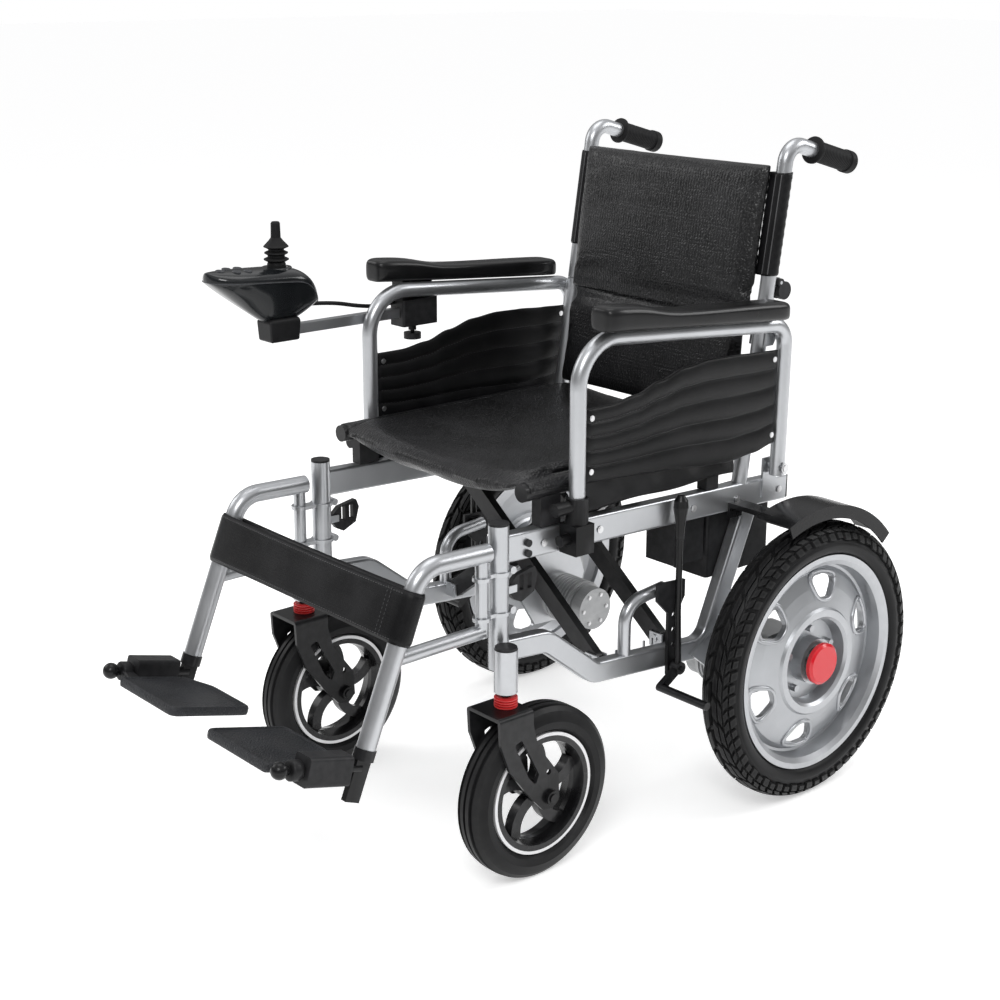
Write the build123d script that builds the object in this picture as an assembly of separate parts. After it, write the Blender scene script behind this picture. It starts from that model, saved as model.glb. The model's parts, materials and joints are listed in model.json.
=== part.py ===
from build123d import *
import os
from math import atan2, cos, degrees, hypot, radians, sin, tan

# Folding power wheelchair. Millimetres. +Z up, the front of the chair is -Y, and
# +X is the left hand of the person sitting in it. Lengthways sizes are written from
# the rear axle and move to the row origin, the middle of the ground box, when saved.

# ---- driving sizes ----
WHEELBASE = 463.5          # rear axle to caster axle
FRAME_X = 195.0            # centre plane of each side frame
AXLE_TO_POST = 498.5       # rear axle to the front post

# rear wheels
WHEEL_R = 204.3
TYRE_W = 56.0
RIM_R = 159.0
RIM_W = 44.0
HUB_R = 77.0               # raised ring round the wheel bolts
CAP_R = 30.5
CAP_PROUD = 33.0            # face of the cap beyond the wheel's centre plane
WHEEL_X = FRAME_X + 102.0
AXLE_R = 8.0
FENDER_LIP = 16.0

# casters
CASTER_R = 119.4
CASTER_W = 48.0
CASTER_RIM_R = 84.0
CASTER_RIM_W = 40.0
CASTER_TRAIL = 49.0
CASTER_X = FRAME_X + 31.0
STEM_R = 7.0
FORK_GAP = 56.0
FORK_T = 5.0
CROWN_Z = 246.0
BOOT_H = 14.0
HOUSING_R = 15.5
HOUSING_H = 58.0
CASTER_AXLE_R = 6.0

# side frame
RAIL_W = 20.0
UPPER_RAIL_H = 38.0
LOWER_RAIL_H = 30.0
RAIL_FRONT_Z = 452.0
RAIL_REAR_Z = 433.0
RAIL_REAR_Y = 46.0
POST_R = 13.5
POST_TOP = 484.0
POST_BOTTOM = 290.0
LOWER_FRONT_Z = 314.0
LOWER_MID_Z = 240.0
LOWER_REAR_Z = 222.0
STRUT_R = 9.0
CORNER_R = 4.0

# folding cross brace
BRACE_Y = -241.0
INNER_BAR = 27.0
OUTER_BAR = 63.0
BAR_W = 26.0
BAR_T = 12.0
BRACE_PIN_R = 6.0
PIVOT_X = FRAME_X - 23.0
PIVOT_Z = 245.0
SEAT_TUBE_X = FRAME_X + 0.5
SEAT_TUBE_Z = 518.0
SEAT_TUBE_R = 12.0
SEAT_FRONT_Y = -462.0
SEAT_TUBE_REAR_Y = -58.0

# back
BACK_X = FRAME_X - 1.0
BACK_R = 11.0
BACK_LEAN = 0.1557         # rearward travel of the post for each unit of height
BACK_REF_Y = -3.0
BACK_REF_Z = 722.0
HINGE_Z = 690.0
HINGE_BACK = BACK_R + 10   # hinge axis behind the post's centre line
JOIN_GAP = 1.0
HANDLE_Z = 931.0
HANDLE_DROP = 0.282
HANDLE_R = 26.0
GRIP_R = 15.3
GRIP_START = 82.0
GRIP_END = 167.0
TUBE_WALL = 2.0

# armrests
ARM_X = FRAME_X + 26.0
ARM_R = 11.0
ARM_FRONT_Y = -388.0
ARM_REAR_Y = 5.0
ARM_FRONT_Z = 712.0
ARM_REAR_Z = 681.0
ARM_FOOT_Z = 466.0
ARM_PIVOT_Z = 474.0
ARM_PIN_R = 4.0
PAD_X = ARM_X + 17.0
PAD_W = 46.0
PAD_LEN = 350.0
PAD_T = 34.0
PANEL_T = 10.0

# legrests
HANGER_X = FRAME_X + 6.0
HANGER_R = 12.5
SWING_GAP = 33.5           # front post centre to the swing axis
SWING_R = 8.5
HANGER_TOP_Z = 453.0
HANGER_CORNER = 98.0       # swing axis to the corner of the hanger
HANGER_BEND = 40.0
LEG_REACH = 87.0
HANGER_END_Z = 244.0
FOOT_TILT = 15.0
PLATE_W = 136.0
PLATE_L = 122.0
PLATE_T = 13.0
PLATE_GAP = 26.0
ROD_R = 6.0
SLEEVE_W = 32.0
SLEEVE_H = 38.0
ROD_END = 113.0
ROD_BALL_R = 11.0
ROD_AHEAD = 9.0            # hinge rod's start, ahead of the leg's axis
STRAP_H = 68.0
STRAP_T = 4.0

# seat and battery
SEAT_T = 22.0
BACK_LOW_Z = 545.0
CLEAR = 0.3                # between pieces that move on each other
RUN = 0.05                 # radial clearance of a shaft in its bore

# controller
STICK_X = -(ARM_X + 20.0)
STICK_Y = -532.0
STICK_Z = 760.0
CASE_W = 78.0
CASE_L = 150.0
RAIL_Z = 670.0
RAIL_S = 14.0              # square rail under the controller
STICK_HOLE_R = 18.0        # opening of the case round the stick

# drive motor, brake lever, latch and clamp screw positions
MOTOR_Y = -26.0
MOTOR_Z = 168.0
MOTOR_R = 37.0
MOTOR_IN = 116.0
BRAKE_Y = -188.0
BRAKE_Z = 216.0
LATCH_Z = HINGE_Z + 46
KNOB_Y = -294.0

POST_Y = -AXLE_TO_POST
SWING_Y = POST_Y - SWING_GAP
RELEASE_Y = POST_Y + POST_R + 8
RELEASE_Z = HANGER_TOP_Z - 58
CASTER_Y = -WHEELBASE
STEM_Y = CASTER_Y - CASTER_TRAIL
HOUSING_BOTTOM = CROWN_Z + FORK_T + BOOT_H + 6
OUTER = FRAME_X + RAIL_W / 2
INNER = FRAME_X - RAIL_W / 2


# ---- small helpers ----
def along_x(x0, x1, y, z, r):
    return Pos((x0 + x1) / 2, y, z) * Rot(0, 90, 0) * Cylinder(r, abs(x1 - x0))


def along_y(y0, y1, x, z, r):
    return Pos(x, (y0 + y1) / 2, z) * Rot(90, 0, 0) * Cylinder(r, abs(y1 - y0))


def along_z(z0, z1, x, y, r):
    return Pos(x, y, (z0 + z1) / 2) * Cylinder(r, abs(z1 - z0))


def block(x0, x1, y0, y1, z0, z1):
    return Pos((x0 + x1) / 2, (y0 + y1) / 2, (z0 + z1) / 2) * Box(abs(x1 - x0), abs(y1 - y0), abs(z1 - z0))


def bar_along(points, radii, section):
    """Sweep a section, drawn about its own centre, along a path in a plane of constant x."""
    path = FilletPolyline(*points, radius=radii) if len(points) > 2 else Line(*points)
    start = Plane(origin=path @ 0, x_dir=(1, 0, 0), z_dir=path % 0)
    return sweep(start * section, path=path)


def ring(r_out, wall):
    return Circle(r_out) - Circle(r_out - wall)


def plate_x(x0, x1, points):
    """A flat plate standing in the lengthways plane, from x0 to x1, with a polygon outline (y, z)."""
    face = make_face(Polyline(*[(x0, y, z) for y, z in points], close=True))
    return extrude(face, amount=x1 - x0, dir=(1, 0, 0))


def turned(profile_points, x, y, z):
    """Turn a closed profile (axial, radius) about the x direction through (x, y, z)."""
    face = make_face(Polyline(*[(a, r) for a, r in profile_points], close=True))
    return Pos(x, y, z) * revolve(face, axis=Axis.X)


def post_y(z):
    return BACK_REF_Y + (z - BACK_REF_Z) * BACK_LEAN


def arm_top_z(y):
    return ARM_FRONT_Z + (ARM_FRONT_Y - y) * (ARM_FRONT_Z - ARM_REAR_Z) / (ARM_REAR_Y + 4 - ARM_FRONT_Y)


def rail_z(y):
    return RAIL_FRONT_Z + (POST_Y - y) * (RAIL_FRONT_Z - RAIL_REAR_Z) / (RAIL_REAR_Y - POST_Y)


# ---- left side frame, a weldment ----
def side_frame():
    tall = RectangleRounded(RAIL_W, UPPER_RAIL_H, CORNER_R)
    low = RectangleRounded(RAIL_W, LOWER_RAIL_H, CORNER_R)
    frame = along_z(POST_BOTTOM, POST_TOP, FRAME_X, POST_Y, POST_R)
    frame += bar_along([(FRAME_X, POST_Y, RAIL_FRONT_Z), (FRAME_X, RAIL_REAR_Y, RAIL_REAR_Z)], [], tall)
    path = [
        (FRAME_X, POST_Y, LOWER_FRONT_Z),
        (FRAME_X, POST_Y + 79, LOWER_FRONT_Z - 6),
        (FRAME_X, POST_Y + 167, LOWER_MID_Z),
        (FRAME_X, -112, LOWER_REAR_Z),
        (FRAME_X, -22, RAIL_REAR_Z),
    ]
    frame += bar_along(path, [34, 34, 38], low)
    housing_top = HOUSING_BOTTOM + HOUSING_H
    frame += along_z(HOUSING_BOTTOM, housing_top, CASTER_X, STEM_Y, HOUSING_R)
    frame += block(FRAME_X, CASTER_X, STEM_Y + 2, POST_Y - 2, POST_BOTTOM + 2, housing_top - 6)
    stub = [(FRAME_X, -270, LOWER_MID_Z), (FRAME_X, -270, 322), (FRAME_X, -196, 330)]
    frame += bar_along(stub, [34], Circle(STRUT_R))
    frame += lower_back_post()
    frame += swing_brackets()
    frame += release_pivot()
    frame += block(OUTER - 1, OUTER + 2.5, ARM_REAR_Y - 14, ARM_REAR_Y + 15, rail_z(0) - 8, ARM_PIVOT_Z + 11)
    frame += along_x(OUTER, ARM_X + ARM_R + 3, ARM_REAR_Y, ARM_PIVOT_Z, ARM_PIN_R)
    frame += motor_plate()
    frame += brace_ears()
    frame -= along_z(HOUSING_BOTTOM - 1, housing_top - 4, CASTER_X, STEM_Y, STEM_R + RUN)
    frame -= along_z(POST_TOP - 30, POST_TOP + 1, FRAME_X, POST_Y, POST_R - TUBE_WALL)
    return frame


def lower_back_post():
    """Back tube welded on the rail, with the fork of the folding hinge at its top."""
    foot = RAIL_REAR_Z
    top = HINGE_Z + 3
    tube = bar_along([(BACK_X, post_y(foot), foot), (BACK_X, post_y(top), top)], [], Circle(BACK_R))
    hinge_y = post_y(HINGE_Z) + HINGE_BACK
    for side in (-1, 1):
        x0 = BACK_X + side * 12
        x1 = BACK_X + side * 15
        outline = [
            (post_y(650) - 4, 650), (post_y(650) + BACK_R + 2, 650), (hinge_y + 9, HINGE_Z - 4),
            (hinge_y + 6, HINGE_Z + 8), (hinge_y - 6, HINGE_Z + 8), (post_y(HINGE_Z) - 4, HINGE_Z - 2),
        ]
        tube += plate_x(min(x0, x1), max(x0, x1), outline)
    tube += block(BACK_X - 12.5, BACK_X + 12.5, post_y(660), post_y(660) + BACK_R + 3, 653, 676)
    tube += along_x(BACK_X - 15.2, BACK_X + 15.2, hinge_y, HINGE_Z, 3)
    return tube


def swing_brackets():
    """Two silver rings on the post that carry the legrest's swing tube."""
    shape = None
    for z in (HANGER_TOP_Z - 32, HANGER_TOP_Z - 86):
        one = along_z(z - 2.5, z + 2.5, HANGER_X, SWING_Y, SWING_R + 3.5)
        one += block(FRAME_X - 7, FRAME_X + 9, SWING_Y, POST_Y, z - 2.5, z + 2.5)
        one += along_z(z - 2.5, z + 2.5, FRAME_X, POST_Y, POST_R + 2.5)
        one += along_x(FRAME_X - 8, FRAME_X + 8, POST_Y + POST_R + 5, z, 5)
        one += block(FRAME_X - 5, FRAME_X + 5, POST_Y, POST_Y + POST_R + 6, z - 2.5, z + 2.5)
        one -= along_z(z - 4, z + 4, HANGER_X, SWING_Y, SWING_R + RUN)
        shape = one if shape is None else shape + one
    return shape


def motor_plate():
    outline = [(-150, 222), (-118, 196), (-76, 128), (8, 124), (32, 196), (20, 232), (-66, 300), (-88, 258)]
    plate = plate_x(OUTER - 1, OUTER + 5, outline)
    plate -= along_x(OUTER - 3, OUTER + 8, MOTOR_Y, MOTOR_Z, MOTOR_R + CLEAR)
    return plate


def brace_ears():
    """Upright ears inside the lower rail that carry the lower ends of one pair of brace bars."""
    ears = None
    for y in (-INNER_BAR, INNER_BAR, -OUTER_BAR, OUTER_BAR):
        for side in (-1, 1):
            y0 = BRACE_Y + y + side * (BAR_T / 2 + 0.5)
            y1 = y0 + side * 3
            ear = block(PIVOT_X - 9, INNER + 2, y0, y1, PIVOT_Z - 12, PIVOT_Z + 9)
            ears = ear if ears is None else ears + ear
        reach = BAR_T / 2 + 5
        pin = along_y(BRACE_Y + y - reach, BRACE_Y + y + reach, PIVOT_X, PIVOT_Z, BRACE_PIN_R)
        ears += pin
    return ears


def ears_for(frame, keep_inner):
    """Keep only the ears that this side's bars use: the inner pair or the outer pair."""
    drop = (OUTER_BAR,) if keep_inner else (INNER_BAR,)
    for off in drop:
        for sign in (-1, 1):
            y = BRACE_Y + sign * off
            frame -= block(PIVOT_X - 12, INNER, y - 13, y + 13, PIVOT_Z - 14, PIVOT_Z + 14)
    return frame


def frame_fittings():
    """Black mouldings and bolts fixed to one side frame: caps, seat saddles, arm socket, brake bracket."""
    pieces = []
    plug = along_z(POST_TOP - 18, POST_TOP, FRAME_X, POST_Y, POST_R - TUBE_WALL)
    plug += along_z(POST_TOP, POST_TOP + 3, FRAME_X, POST_Y, POST_R)
    pieces.append(plug)
    top = HOUSING_BOTTOM + HOUSING_H
    pieces.append(along_z(top, top + 3, CASTER_X, STEM_Y, HOUSING_R - 1))
    pieces.append(seat_saddle(-418, 17))
    pieces.append(seat_saddle(-112, 12))
    end = block(INNER + 1, OUTER - 1, RAIL_REAR_Y + 0.8, RAIL_REAR_Y + 4, RAIL_REAR_Z - 17, RAIL_REAR_Z + 17)
    pieces.append(end)
    pieces.append(arm_socket())
    pieces.append(brake_bracket())
    for z in (RAIL_FRONT_Z + 4, RAIL_FRONT_Z - 10):
        pieces.append(along_x(OUTER, OUTER + 4, POST_Y + 40, z - 2, 5))
    return pieces


def seat_saddle(y, half):
    """Cradle on the upper rail, open at the top, in which the seat tube rests."""
    base_z = rail_z(y - half) + UPPER_RAIL_H / 2
    reach = SEAT_TUBE_R - 3
    body = block(SEAT_TUBE_X - reach, SEAT_TUBE_X + reach, y - half, y + half, base_z + 0.2, SEAT_TUBE_Z)
    body -= along_y(y - half - 1, y + half + 1, SEAT_TUBE_X, SEAT_TUBE_Z, SEAT_TUBE_R + CLEAR)
    return body


def arm_socket():
    """Split clamp on the outside of the rail with a cup for the armrest's front leg."""
    y = ARM_FRONT_Y
    grip = ARM_R + 0.6
    body = block(OUTER, ARM_X + 16, y - 15, y + 17, 430, 470)
    body += along_z(468, SEAT_TUBE_Z - SEAT_TUBE_R - 1.5, ARM_X, y, 15.5)
    body += along_y(y - 40, y - 10, ARM_X, 494, 9)
    body += along_y(y - 30, y - 10, ARM_X, 451, 7.5)
    mouth = SlotOverall(2 * grip + 2.4, 2 * grip, rotation=90)
    return body - Pos(ARM_X, y + 1.2, 462) * extrude(mouth, 60)


def brake_bracket():
    """Black perforated strip that hangs from the stub tube and carries the parking brake's pivot."""
    outline = [(-222, 344), (-168, 340), (-168, 316), (-178, 300), (-177, 206), (-199, 204),
               (-200, 296), (-222, 318)]
    plate = plate_x(OUTER + 1, OUTER + 6, outline)
    for z in (292, 270, 248):
        plate -= along_x(OUTER - 1, OUTER + 8, BRAKE_Y - 1, z, 4)
    plate += block(FRAME_X, OUTER + 2, -212, -192, 322, 338)
    plate -= along_y(-240, -190, FRAME_X, 330, STRUT_R + 1.5)
    plate += along_x(OUTER, OUTER + 24, BRAKE_Y, BRAKE_Z, 4)
    return plate


def brake_lever():
    """Hand lever, rod and shoe bar in one piece, turning about a low pivot."""
    x = OUTER + 16
    y = BRAKE_Y - 4
    lever = along_x(OUTER + 8, OUTER + 22, BRAKE_Y, BRAKE_Z, 9)
    lever += bar_along([(x, BRAKE_Y, BRAKE_Z), (x, y, 300), (x, y, 415)], [60], Circle(4.5))
    profile = make_face(Polyline((0, 0, 404), (5.5, 0, 406), (7, 0, 430), (10.5, 0, 452), (9.5, 0, 462),
                                 (5, 0, 469), (0, 0, 470), close=True))
    lever += Pos(x, y, 0) * revolve(profile, axis=Axis.Z)
    lever += bar_along([(x, BRAKE_Y, BRAKE_Z), (x, BRAKE_Y - 34, BRAKE_Z - 21)], [], Rectangle(8, 12))
    lever += along_x(x - 4, WHEEL_X + 12, BRAKE_Y - 34, BRAKE_Z - 21, 6)
    lever -= along_x(OUTER, OUTER + 30, BRAKE_Y, BRAKE_Z, 4 + RUN)
    return lever


# ---- rear wheel, motor and fender ----
def rear_rim():
    """Pressed rim with a domed disc, six windows, a raised hub ring and its wheel nuts."""
    half = RIM_W / 2
    x = WHEEL_X
    outline = [
        (-half, AXLE_R), (-half, 24), (-8, 24), (-8, HUB_R - 19), (8, HUB_R - 15), (11, HUB_R - 11),
        (11, HUB_R - 3), (9, HUB_R + 3), (6, RIM_R - 67), (1, RIM_R - 49), (-6, RIM_R - 29),
        (-11, RIM_R - 21), (-14, RIM_R - 17), (-half, RIM_R - 17), (-half, RIM_R), (3 - half, RIM_R),
        (4 - half, RIM_R - 11), (half - 4, RIM_R - 11), (half - 3, RIM_R), (half, RIM_R),
        (half, RIM_R - 8), (half - 5, RIM_R - 15), (-3, RIM_R - 18), (-4, RIM_R - 22), (1, RIM_R - 29),
        (8, RIM_R - 49), (13, RIM_R - 67), (16, HUB_R + 3), (20, HUB_R), (20, HUB_R - 10),
        (16, HUB_R - 14), (-1, HUB_R - 18), (-2, CAP_R + 3), (17, CAP_R + 3), (17, AXLE_R),
    ]
    rim = turned(outline, x, 0, WHEEL_R)
    for i in range(5):
        nut = Pos(x, 0, WHEEL_R) * Rot(72 * i, 0, 0) * along_x(-3, 7, 0, (HUB_R + CAP_R) / 2 - 7, 5)
        rim += nut
    for i in range(6):
        window = Pos(x, 0, WHEEL_R) * Rot(60 * i - 10, 0, 0) * window_cutter()
        rim -= window
    return rim


def window_cutter():
    """One wheel window: a broad arc at the rim and a rounded point towards the hub."""
    wide, deep = RIM_R - 33, HUB_R + 16
    pts = [(0, -27, wide - 4), (0, 0, wide + 1), (0, 27, wide - 4), (0, 11, deep), (0, -11, deep)]
    face = make_face(Polyline(*pts, close=True))
    cut = extrude(face, amount=40, dir=(1, 0, 0), both=True)
    return fillet(cut.edges().filter_by(Axis.X), 8)


def rear_tyre():
    half = TYRE_W / 2
    bead = RIM_W / 2 - 4
    outline = [
        (-bead, RIM_R - 11), (bead, RIM_R - 11), (bead, RIM_R + 1), (half - 3, RIM_R + 10),
        (half, RIM_R + 22), (half - 5, WHEEL_R - 12), (half - 14, WHEEL_R - 3), (half - 22, WHEEL_R),
        (-half + 22, WHEEL_R),
        (-half + 14, WHEEL_R - 3), (-half + 5, WHEEL_R - 12), (-half, RIM_R + 22), (-half + 3, RIM_R + 10),
        (-bead, RIM_R + 1),
    ]
    return turned(outline, WHEEL_X, 0, WHEEL_R)


def hub_cap():
    """Domed cap pushed onto the outer end of the hub, with a narrower collar behind it."""
    start = 17.0
    outline = [(start, 0), (start, CAP_R - 5), (start + 6, CAP_R - 5), (start + 6.5, CAP_R - 0.5),
               (start + 7.5, CAP_R), (CAP_PROUD - 3, CAP_R), (CAP_PROUD, CAP_R - 4), (CAP_PROUD, 0)]
    return turned(outline, WHEEL_X, 0, WHEEL_R)


def motor():
    """Geared motor: gearbox outside the frame, drum inside it, and the drive shaft in the hub."""
    box = block(OUTER + 5, OUTER + 52, -52, 36, 150, 236)
    box = fillet(box.edges().filter_by(Axis.X), 20)
    body = box + along_x(MOTOR_IN + 22, OUTER + 6, MOTOR_Y, MOTOR_Z, MOTOR_R)
    body += along_x(MOTOR_IN, MOTOR_IN + 24, MOTOR_Y, MOTOR_Z, MOTOR_R - 3)
    body += along_x(OUTER + 50, WHEEL_X - RIM_W / 2 - CLEAR, 0, WHEEL_R, 20)
    body += along_x(OUTER + 50, WHEEL_X + 16, 0, WHEEL_R, AXLE_R - RUN)
    return body


def fender():
    """Mudguard arc over the rear tyre, with its bracket to the side frame."""
    x0, x1 = OUTER + 63, OUTER + 125
    mid = (-17.0, 245.0)
    r_out, r_in = 197.0, 194.0
    a0, a1 = 112.0, 41.0

    def at(r, a):
        return (mid[0] + r * cos(radians(a)), mid[1] + r * sin(radians(a)))

    outer = ThreePointArc(*[(x0, *at(r_out, a)) for a in (a0, (a0 + a1) / 2, a1)])
    inner = ThreePointArc(*[(x0, *at(r_in, a)) for a in (a1, (a0 + a1) / 2, a0)])
    face = make_face([outer, Line(outer @ 1, inner @ 0), inner, Line(inner @ 1, outer @ 0)])
    shell = extrude(face, amount=x1 - x0, dir=(1, 0, 0))
    lip_in = ThreePointArc(*[(x1 - 3, *at(r_in - FENDER_LIP, a)) for a in (a1, (a0 + a1) / 2, a0)])
    lip_out = ThreePointArc(*[(x1 - 3, *at(r_out, a)) for a in (a0, (a0 + a1) / 2, a1)])
    lip = make_face([lip_out, Line(lip_out @ 1, lip_in @ 0), lip_in, Line(lip_in @ 1, lip_out @ 0)])
    shell += extrude(lip, amount=3, dir=(1, 0, 0))
    y0, z0 = at(r_in, 106)
    arm = block(OUTER, x0 + 20, y0 - 8, y0 + 18, z0 - 6, z0 + 1)
    shell += arm
    shell += block(OUTER, OUTER + 4, y0 - 8, y0 + 18, z0 - 22, z0 + 1)
    return shell


# ---- caster ----
def caster_fork():
    """Bent plate fork with a slot in each leg, its stem, and the axle bolt."""
    crown = [
        (STEM_Y - 38, CROWN_Z + FORK_T), (STEM_Y - 36, 215), (STEM_Y - 21, 175), (CASTER_Y - 36, 130),
        (CASTER_Y - 13, 105), (CASTER_Y + 4, 102), (CASTER_Y + 16, 114), (CASTER_Y + 14, 150),
        (CASTER_Y - 22, 198), (CASTER_Y - 30, 230), (CASTER_Y - 30, CROWN_Z + FORK_T),
    ]
    half = FORK_GAP / 2
    fork = plate_x(CASTER_X - half - FORK_T, CASTER_X + half + FORK_T, crown)
    fork = fillet(fork.edges().filter_by(Axis.Y).sort_by(Axis.Z)[-2:], 6)
    fork -= block(CASTER_X - half, CASTER_X + half, STEM_Y - 60, CASTER_Y + 40, 80, CROWN_Z)
    slot = [(CASTER_Y - 62, 210), (CASTER_Y - 50, 214), (CASTER_Y - 20, 158), (CASTER_Y - 26, 144),
            (CASTER_Y - 38, 158)]
    cut = plate_x(CASTER_X - 60, CASTER_X + 60, slot)
    fork -= fillet(cut.edges().filter_by(Axis.X), 3)
    fork -= along_x(CASTER_X - 60, CASTER_X + 60, CASTER_Y - 3, 156, 4)
    fork += along_z(CROWN_Z, HOUSING_BOTTOM + HOUSING_H - 6, CASTER_X, STEM_Y, STEM_R)
    reach = half + FORK_T + 8
    fork += along_x(CASTER_X - reach, CASTER_X + reach, CASTER_Y, CASTER_R, CASTER_AXLE_R)
    for side in (-1, 1):
        x0 = CASTER_X + side * (half + FORK_T)
        fork += along_x(x0, x0 + side * 6, CASTER_Y, CASTER_R, 10)
    return fork


def caster_boot():
    """Red ribbed rubber spring between the fork's crown and the frame's housing."""
    z = CROWN_Z + FORK_T
    pts = [(STEM_R, 0), (15, 0)]
    ribs = 4
    pitch = BOOT_H / ribs
    for i in range(ribs):
        pts += [(15.5, i * pitch + 0.8), (15.5, i * pitch + 2.2), (13.2, i * pitch + 2.9)]
    pts += [(13.2, BOOT_H), (STEM_R, BOOT_H)]
    face = make_face(Polyline(*[(r, 0, h) for r, h in pts], close=True))
    return Pos(CASTER_X, STEM_Y, z) * revolve(face, axis=Axis.Z)


def caster_rim():
    """Cast rim with five curved spokes round a hub."""
    half = CASTER_RIM_W / 2
    seat = CASTER_RIM_R - 7
    outline = [(-half, seat - 5), (-4, seat - 9), (4, seat - 9), (half, seat - 5), (half, CASTER_RIM_R),
               (half - 5, CASTER_RIM_R), (half - 5, seat), (5 - half, seat), (5 - half, CASTER_RIM_R),
               (-half, CASTER_RIM_R)]
    rim = turned(outline, CASTER_X, CASTER_Y, CASTER_R)
    hub_half = FORK_GAP / 2 - 1.0
    rim += along_x(CASTER_X - hub_half, CASTER_X + hub_half, CASTER_Y, CASTER_R, 16)
    for i in range(5):
        spoke_path = ThreePointArc((0, 12, 0), (0, 40, -9), (0, CASTER_RIM_R - 14, 4))
        outer = offset_strip(spoke_path, 8)
        spoke = extrude(outer, amount=7, dir=(1, 0, 0), both=True)
        rim += Pos(CASTER_X, CASTER_Y, CASTER_R) * Rot(72 * i + 20, 0, 0) * spoke
    rim -= along_x(CASTER_X - 50, CASTER_X + 50, CASTER_Y, CASTER_R, CASTER_AXLE_R + RUN)
    return rim


def offset_strip(arc, half):
    """A strip of constant width about an arc in the plane x = 0."""
    a, m, b = arc @ 0, arc @ 0.5, arc @ 1

    def shifted(p, t, sign):
        n = Vector(0, -t.Z, t.Y)
        return p + n * (half * sign)

    up = [shifted(p, arc % u, 1) for p, u in ((a, 0), (m, 0.5), (b, 1))]
    dn = [shifted(p, arc % u, -1) for p, u in ((b, 1), (m, 0.5), (a, 0))]
    top = ThreePointArc(*up)
    low = ThreePointArc(*dn)
    return make_face([top, Line(top @ 1, low @ 0), low, Line(low @ 1, top @ 0)])


def caster_tyre():
    """Tyre with three shallow grooves round its tread."""
    half = CASTER_W / 2
    bead = CASTER_RIM_W / 2 - 5
    r = CASTER_R
    seat = CASTER_RIM_R - 7
    outline = [
        (-bead, seat), (bead, seat), (bead, CASTER_RIM_R + 0.3), (half - 1, CASTER_RIM_R + 6),
        (half, r - 20), (half - 5, r - 7), (14, r - 1.2), (13, r - 3.5), (9, r - 3.5), (8, r - 0.2),
        (2, r), (1.5, r - 3), (-1.5, r - 3), (-2, r), (-8, r - 0.2), (-9, r - 3.5), (-13, r - 3.5),
        (-14, r - 1.2), (5 - half, r - 7), (-half, r - 20), (1 - half, CASTER_RIM_R + 6),
        (-bead, CASTER_RIM_R + 0.3),
    ]
    return turned(outline, CASTER_X, CASTER_Y, CASTER_R)


# ---- armrest ----
def armrest_tube():
    path = [(ARM_X, ARM_FRONT_Y, ARM_FOOT_Z), (ARM_X, ARM_FRONT_Y, ARM_FRONT_Z),
            (ARM_X, ARM_REAR_Y + 4, ARM_REAR_Z), (ARM_X, ARM_REAR_Y, ARM_FOOT_Z - 4)]
    tube = bar_along(path, [60, 30], ring(ARM_R, TUBE_WALL))
    tube += along_x(ARM_X - ARM_R + 0.5, ARM_X + ARM_R - 0.5, ARM_REAR_Y, ARM_PIVOT_Z, ARM_PIN_R + 3)
    tube -= along_x(ARM_X - 20, ARM_X + 20, ARM_REAR_Y, ARM_PIVOT_Z, ARM_PIN_R + RUN)
    return tube


def armrest_pad():
    """Moulded arm pad, level with the tube, wider and deeper at its front."""
    y0 = ARM_FRONT_Y + 18
    y1 = y0 + PAD_LEN
    z0 = arm_top_z(y0) + ARM_R + 0.15
    z1 = arm_top_z(y1) + ARM_R + 0.15
    outline = [(y0, z0), (y1, z1), (y1, z1 + PAD_T - 8), (y0 + 120, z0 + PAD_T - 10),
               (y0 + 50, z0 + PAD_T), (y0, z0 + PAD_T - 2)]
    pad = plate_x(PAD_X - PAD_W / 2, PAD_X + PAD_W / 2, outline)
    pad = fillet(pad.edges().filter_by(Axis.Z), 12)
    return pad


def side_panel():
    """Upholstered panel that fills the armrest loop, with a wavy top edge."""
    front = ARM_FRONT_Y + ARM_R + CLEAR
    rear = ARM_REAR_Y - ARM_R - CLEAR
    top = [(front, 619), (-332, 618), (-283, 624), (-240, 637), (-192, 649), (-145, 653), (-78, 650),
           (rear, 646)]
    wave = Spline(*[(ARM_X - PANEL_T / 2, y, z) for y, z in top])
    corners = [(rear, 508), (-100, 500), (-230, 512), (front, 520)]
    low = Polyline(*[(ARM_X - PANEL_T / 2, y, z) for y, z in [top[-1]] + corners + [top[0]]])
    return extrude(make_face([wave, low]), amount=PANEL_T, dir=(1, 0, 0))


# ---- legrest ----
LEG_TOP = (SWING_Y - HANGER_CORNER, HANGER_TOP_Z + 3)
LEG_END = (SWING_Y - HANGER_CORNER - LEG_REACH, HANGER_END_Z)
LEG_LEN = hypot(LEG_TOP[0] - LEG_END[0], LEG_TOP[1] - LEG_END[1])
LEG_DIR = ((LEG_END[0] - LEG_TOP[0]) / LEG_LEN, (LEG_END[1] - LEG_TOP[1]) / LEG_LEN)
STRAP_DOWN = 0.7 * HANGER_BEND + 1 + STRAP_H / 2       # along the leg to the middle of the strap
BRACE_LOW_Z = LEG_TOP[1] + LEG_DIR[1] * (STRAP_DOWN + STRAP_H / 2) - 18.5


def leg_point(down):
    """A point on the leg's axis, this far past its lower end."""
    return (HANGER_X, LEG_END[0] + LEG_DIR[0] * down, LEG_END[1] + LEG_DIR[1] * down)


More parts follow.
